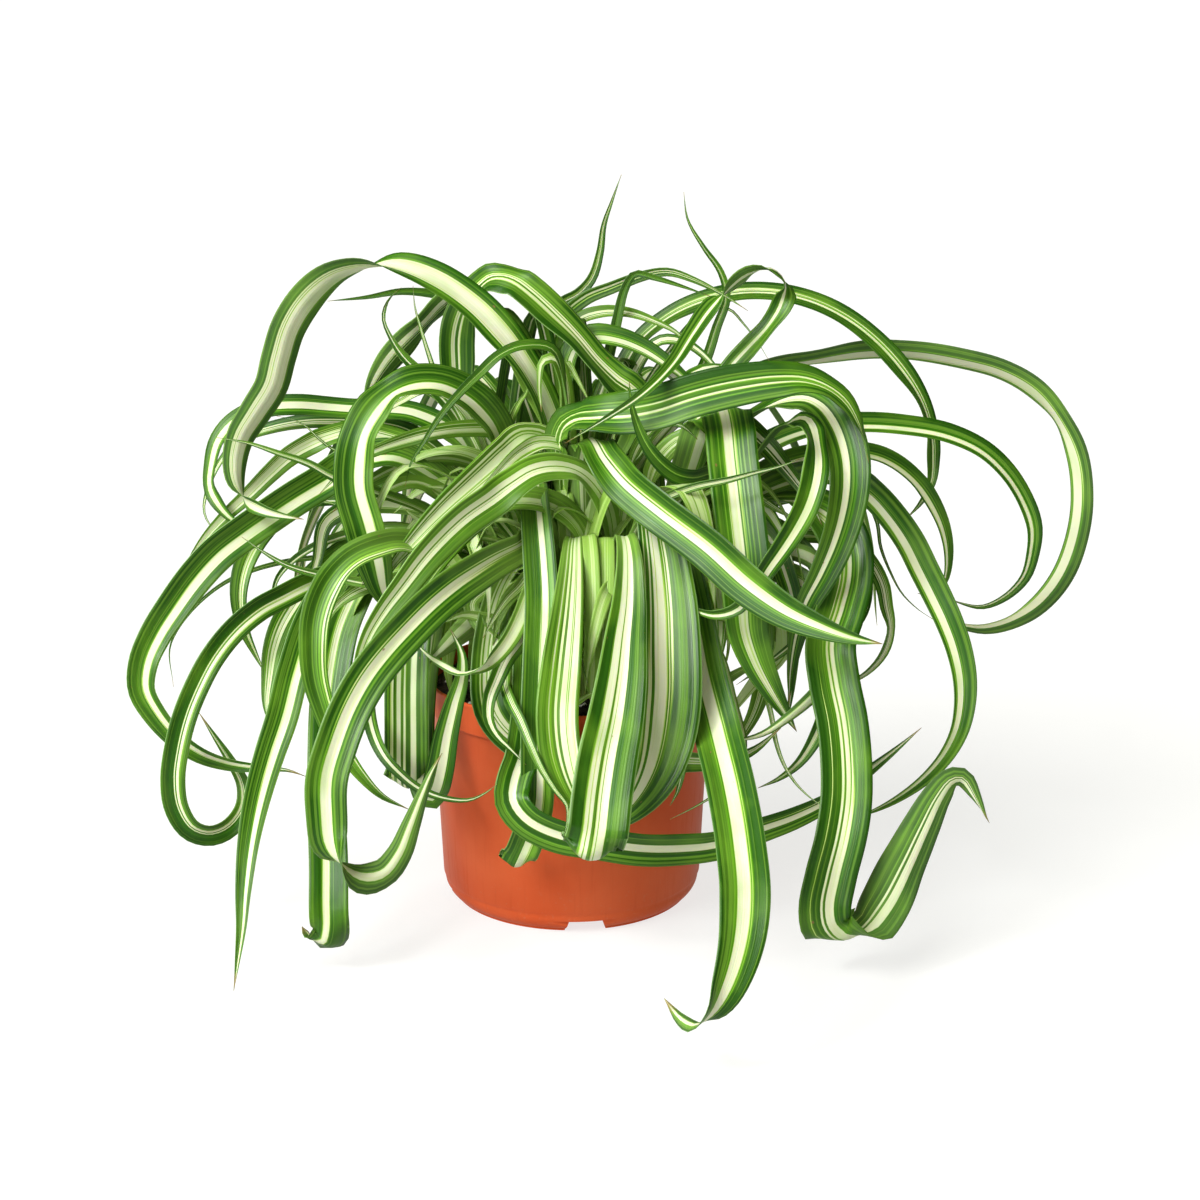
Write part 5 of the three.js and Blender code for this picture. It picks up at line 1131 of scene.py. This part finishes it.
RIGHT_SMALL_BLADES = [
    ["grown", 13, "L UF F", [[60, 40, -4], [84, 34, 6], [96, 10, 14], [100, -10, 20], [99, -30, 24],
        [98, -48, 26], [96, -64, 26]]],
    ["grown", 9, "L UF F", [[80, 40, -10], [106, 24, 4], [114, 2, 24], [106, -16, 34], [89, -31, 36],
        [70, -44, 36]]],
    ["grown", 8, "F", [[30, -30, 20], [44, -56, 30], [58, -46, 36], [74, -36, 40], [92, -30, 42]]],
    ["young", 10, "L UF F", [[78, 10, 4], [94, -24, 18], [78, -44, 26], [67, -58, 28], [54, -72, 28]]],
    ["grown", 14, "L UF F", [[60, 30, -6], [78, 12, 6], [84, -34, 18], [80, -56, 22], [70, -74, 22],
        [58, -88, 20]]],
    ["grown", 12, "LF UF UF F", [[36, 30, 0], [50, 56, 4], [64, 62, 8], [80, 52, 12], [92, 36, 14],
        [100, 16, 14]]],
    ["grown", 10, "LF UF F", [[36, 20, 6], [48, 40, 12], [60, 44, 16], [70, 34, 20], [78, 16, 22],
        [82, -4, 22]]],
    ["grown", 16, "LF UF F", [[36, 20, -4], [46, 34, 0], [56, 30, 6], [60, 10, 10], [62, -14, 12],
        [60, -40, 12]]],
    ["young", 9, "F UF F", [[30, 10, 4], [38, 40, 8], [46, 56, 12], [56, 60, 16], [68, 50, 18]]],
    ["young", 2.5, "F", [[44, 14, 10], [52, -10, 24], [57, -24, 30], [57, -38, 32], [50, -50, 32]]],
    ["young", 2.5, "F", [[62, -6, 18], [66, -20, 28], [64, -34, 31], [56, -46, 31]]],
    ["grown", 10, "L UF UF F", [[14, 60, 10], [22, 82, 20], [32, 90, 26], [42, 89, 30], [50, 82, 32]]],
]
grow_tuft("right_tuft", RIGHT_CROWN, RIGHT_BLADES, RIGHT_LOOKS, RIGHT_SMALL_BLADES, RIGHT_SPAN)


# Back tuft: leaves of the same plant that stand up at the back, arch over the top and spread round the side
# that the photograph doesn't show. They grow from their own crown in the soil.
BACK_CROWN = (-2, 31)
BACK_SPAN = (60, 300)
BACK_BLADES = [
    # Upright tips and arches over the top.
    [19, "L LF RF RF RUF RUF UF UF UF UF LUF LF F F F LF", [[0, 50, -18], [20, 84, -12], [18, 104, -8],
        [8, 112, -6], [-2, 122, -4], [-12, 134, -3], [-24, 146, -2], [-36, 157, -2], [-46, 164, -4],
        [-55, 165, -10], [-62, 160, -17], [-69, 150, -22], [-73, 136, -26], [-73, 120, -28],
        [-72, 104, -28], [-76, 88, -26]], [0.34, 0.88]],
    [15, "R RF RF RUF UF UB UB UB LUB LBB LBB LBB LB", [[-18, 50, -34], [-20, 92, -28], [-29, 112, -24],
        [-38, 127, -22], [-48, 141, -22], [-59, 153, -24], [-70, 157, -28], [-80, 151, -32],
        [-90, 141, -34], [-100, 131, -36], [-109, 121, -37], [-117, 108, -38], [-121, 95, -38]],
        [0.4, 0.86]],
    [7.5, "F", [[-18, 60, -46], [-26, 112, -48], [-27, 140, -47], [-21, 151, -45], [-11, 157, -43],
        [-4, 165, -41], [0, 178, -39], [2, 192, -37], [6, 204, -35], [11, 218, -33]]],
    [8, "F", [[-16, 60, -40], [-24, 112, -38], [-20, 142, -36], [-8, 154, -33], [6, 160, -30],
        [22, 166, -28], [35, 168, -26], [48, 164, -24], [62, 157, -23], [76, 148, -22]]],
    [6.5, "F", [[-2, 60, -30], [2, 112, -28], [8, 140, -26], [13, 160, -24], [18, 167, -21],
        [28, 165, -19], [41, 161, -18], [58, 155, -17]]],
    [6, "F", [[8, 60, -44], [36, 95, -46], [53, 120, -46], [60, 140, -44], [65, 155, -42], [62, 168, -40],
        [53, 181, -38], [45, 195, -36], [43, 209, -34]]],
    [3, "F", [[8, 80, -52], [34, 126, -54], [54, 148, -54], [66, 149, -52], [74, 141, -50],
        [81, 132, -48], [87, 122, -46]]],
    # The two long ones over the right side.
    [12, "L LF LUF LUF UF UF UF UF UF UF UF RUF RF F", [[-2, 60, -52], [8, 108, -56], [20, 132, -58],
        [34, 144, -58], [50, 152, -58], [70, 157, -58], [90, 157, -58], [108, 153, -58], [125, 145, -58],
        [140, 134, -57], [154, 119, -56], [165, 102, -55], [170, 86, -54], [171, 72, -53], [170, 60, -52],
        [165, 50, -51], [157, 41, -50]], [0.38, 0.78]],
    [13, "L LB UB UB UBB UBB UBB UBB UBB RUB RBB RBB RBB RBB RBB RDB DB", [[10, 50, -64], [50, 100, -72],
        [85, 118, -76], [110, 123, -80], [135, 127, -82], [160, 127, -84], [185, 123, -86],
        [207, 117, -88], [224, 107, -90], [237, 91, -92], [245, 72, -94], [247, 50, -96], [244, 30, -98],
        [237, 12, -100], [226, -2, -102], [212, -11, -104], [197, -15, -106], [183, -13, -108],
        [170, -8, -110]], [0.38, 0.82]],
    # Short ones in the middle of the top.
    [15, "L LF LUF UF UF UF UF RUF RF F", [[-14, 60, -16], [-18, 108, -16], [-14, 128, -15],
        [-4, 135, -14], [9, 134, -13], [22, 129, -12], [33, 122, -10], [43, 114, -8], [52, 104, -6],
        [58, 92, -4]]],
    [11, "L LF LUF UF UF UF UF F", [[-16, 70, -32], [-20, 122, -32], [-12, 142, -31], [0, 147, -30],
        [14, 147, -30], [27, 143, -29], [39, 137, -28], [48, 128, -27]]],
    [10, "L LF LUF UF UF F", [[2, 60, -26], [16, 112, -28], [30, 132, -28], [42, 132, -27],
        [52, 126, -26], [61, 116, -25], [68, 104, -24]]],
    [11, "R RF RUF UF LF LF F", [[-14, 50, 0], [-17, 90, 4], [-18, 110, 6], [-23, 123, 8], [-29, 122, 10],
        [-31, 110, 11], [-30, 96, 11]]],
    [7.5, "F", [[-22, 60, -56], [-38, 112, -60], [-56, 144, -62], [-72, 154, -62], [-86, 157, -61],
        [-102, 158, -60], [-120, 155, -59], [-140, 153, -58]]],
]
BACK_LOOKS = "nmggdgmgivlmod"
BACK_SMALL_BLADES = [
    ["young", 9, "RF", [[-14, 50, -10], [-24, 84, -8], [-38, 110, -8], [-52, 136, -8], [-64, 152, -10],
        [-76, 158, -14]]],
]
# Blades that spread round the back and sides by a rule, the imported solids' too: how many, the range of
# directions in degrees from the front, and the ranges of reach, rise and width.
SPRAYS = [
    {"count": 15, "span": (98, 246), "reach": (110, 205), "rise": (70, 150), "width": (9, 18)},
    {"count": 4, "span": (130, 240), "reach": (50, 90), "rise": (150, 185), "width": (7, 11)},
]
SPRAY_SEED = 41
SPRAY_SWAY = 30
SPRAY_ARCH = [[0.1, 0.4], [0.3, 0.82], [0.55, 0.98], [0.8, 0.74], [0.95, 0.3], [1, -0.12]]


def repeatable_draw(seed):
    """Draws between 0 and 1 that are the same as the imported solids'."""
    state = seed
    while True:
        state = state * 16807 % 2147483647
        yield state / 2147483647


def spray_blades(root, spray, draws):
    """Blades spread evenly over a range of directions, each arching out from its crown and down."""
    low, high = spray["span"]
    for i in range(spray["count"]):
        turn = math.radians(low + (high - low) * (i + 0.3 + 0.4 * next(draws)) / spray["count"])
        far = np.interp(next(draws), (0, 1), spray["reach"])
        rise = np.interp(next(draws), (0, 1), spray["rise"])
        sway = SPRAY_SWAY * (next(draws) - 0.5)
        width = np.interp(next(draws), (0, 1), spray["width"])
        yield *arching(root, turn, far, rise, sway, SPRAY_ARCH), width


spray_draws = repeatable_draw(SPRAY_SEED)
spread = [blade for spray in SPRAYS for blade in spray_blades(root_of(BACK_CROWN), spray, spray_draws)]
grow_tuft("back_tuft", BACK_CROWN, BACK_BLADES, BACK_LOOKS, BACK_SMALL_BLADES, BACK_SPAN, spread)


# Floor, light and camera: a wide flat floor of plain white paper under a large soft light from the upper
# left, with a weak one from the front, seen from the front and a little above. These sizes are in metres, and
# the lens and its sensor in millimetres.
FLOOR_REACH = 160
FLOOR_WHITE = "#959595"
FLOOR_SHADE = "#919191"
FLOOR_GLOW = 0.74
FLOOR_FILL = 0.35
STUDIO_GREY = "#8c8b74"
STUDIO_GLOSS = "#404142"
STUDIO_WHITE = "#ffffff"
SOFTBOX_POWER = 3.7
SOFTBOX_WHITE = (1, 1, 0.94)
FILL_POWER = 0.6
FILL_WHITE = (1, 0.99, 0.93)
STRIP_POWER = 14
STRIP_WHITE = (0.93, 0.97, 1)
EYE = (0.015, -1.1, 0.4605)
LENS = 66.7
SENSOR_WIDTH = 36
VIEW_END = 400


def make_floor_material():
    """Smooth white paper with a faint unevenness, lit from beneath as a light table is."""
    material, tree, shader = new_material(
        "paper_sweep", {"Roughness": 0.9, "Specular IOR Level": 0.1, "Emission Color": (1, 1, 1, 1)}
    )
    seen = add(tree, "LightPath", out="Is Camera Ray")
    glow = add(tree, "MapRange", (seen, 0.0, 1.0, FLOOR_FILL, FLOOR_GLOW))
    tree.links.new(glow, shader.inputs["Emission Strength"])
    place = add(tree, "TexCoord", out="Object")
    cloud = add(tree, "TexNoise", {"Vector": place, "Scale": 3.0, "Detail": 2.0})
    colour = add(tree, "Mix", {0: cloud, 6: FLOOR_WHITE, 7: FLOOR_SHADE}, 2, data_type="RGBA")
    tree.links.new(colour, shader.inputs["Base Color"])
    return material


corner = FLOOR_REACH / MM
floor_corners = [(x * corner, y * corner, 0) for x, y in ((-1, -1), (1, -1), (1, 1), (-1, 1))]
floor = new_object("floor", floor_corners, [(0, 1, 2, 3)], [make_floor_material()])


def add_light(name, kind, power, colour, along, place=(0, 0, 0), **settings):
    """A lamp of the given kind that shines along a direction."""
    light = bpy.data.lights.new(name, kind)
    light.energy = power
    light.color = colour
    for setting, value in settings.items():
        setattr(light, setting, value)
    lamp = bpy.data.objects.new(name, light)
    lamp.location = place
    lamp.rotation_euler = Vector(along).to_track_quat("-Z", "Y").to_euler()
    bpy.context.scene.collection.objects.link(lamp)


add_light("softbox", "SUN", SOFTBOX_POWER, SOFTBOX_WHITE, (1, 0.75, -1.25), angle=math.radians(45))
add_light("front_fill", "SUN", FILL_POWER, FILL_WHITE, (0.4, 1, -0.1), angle=math.radians(70))
strip = {"place": (-1.3, -0.9, 1.5), "shape": "DISK", "size": 0.4}
add_light("window_strip", "AREA", STRIP_POWER, STRIP_WHITE, (1.3, 0.9, -1.3), **strip)

# The camera sees a white background, and the part is lit by a softer grey one that hardly shows in its gloss.
world = bpy.data.worlds.new("studio")
world.use_nodes = True
studio = world.node_tree
background = studio.nodes["Background"]
background.inputs["Strength"].default_value = 1.0
glossy = add(studio, "LightPath", out="Is Glossy Ray")
seen = glossy.node.outputs["Is Camera Ray"]
sky = STUDIO_GREY
for share, tint in ((glossy, STUDIO_GLOSS), (seen, STUDIO_WHITE)):
    sky = add(studio, "Mix", {0: share, 6: sky, 7: tint}, 2, data_type="RGBA")
studio.links.new(sky, background.inputs["Color"])
bpy.context.scene.world = world
bpy.context.scene.view_settings.view_transform = "Standard"

camera_data = bpy.data.cameras.new("camera")
camera_data.lens = LENS
camera_data.sensor_width = SENSOR_WIDTH
camera_data.clip_end = VIEW_END
camera = bpy.data.objects.new("camera", camera_data)
camera.location = EYE
camera.rotation_euler = (math.pi / 2 - VIEW_PITCH, 0, 0)
bpy.context.scene.collection.objects.link(camera)
bpy.context.scene.camera = camera
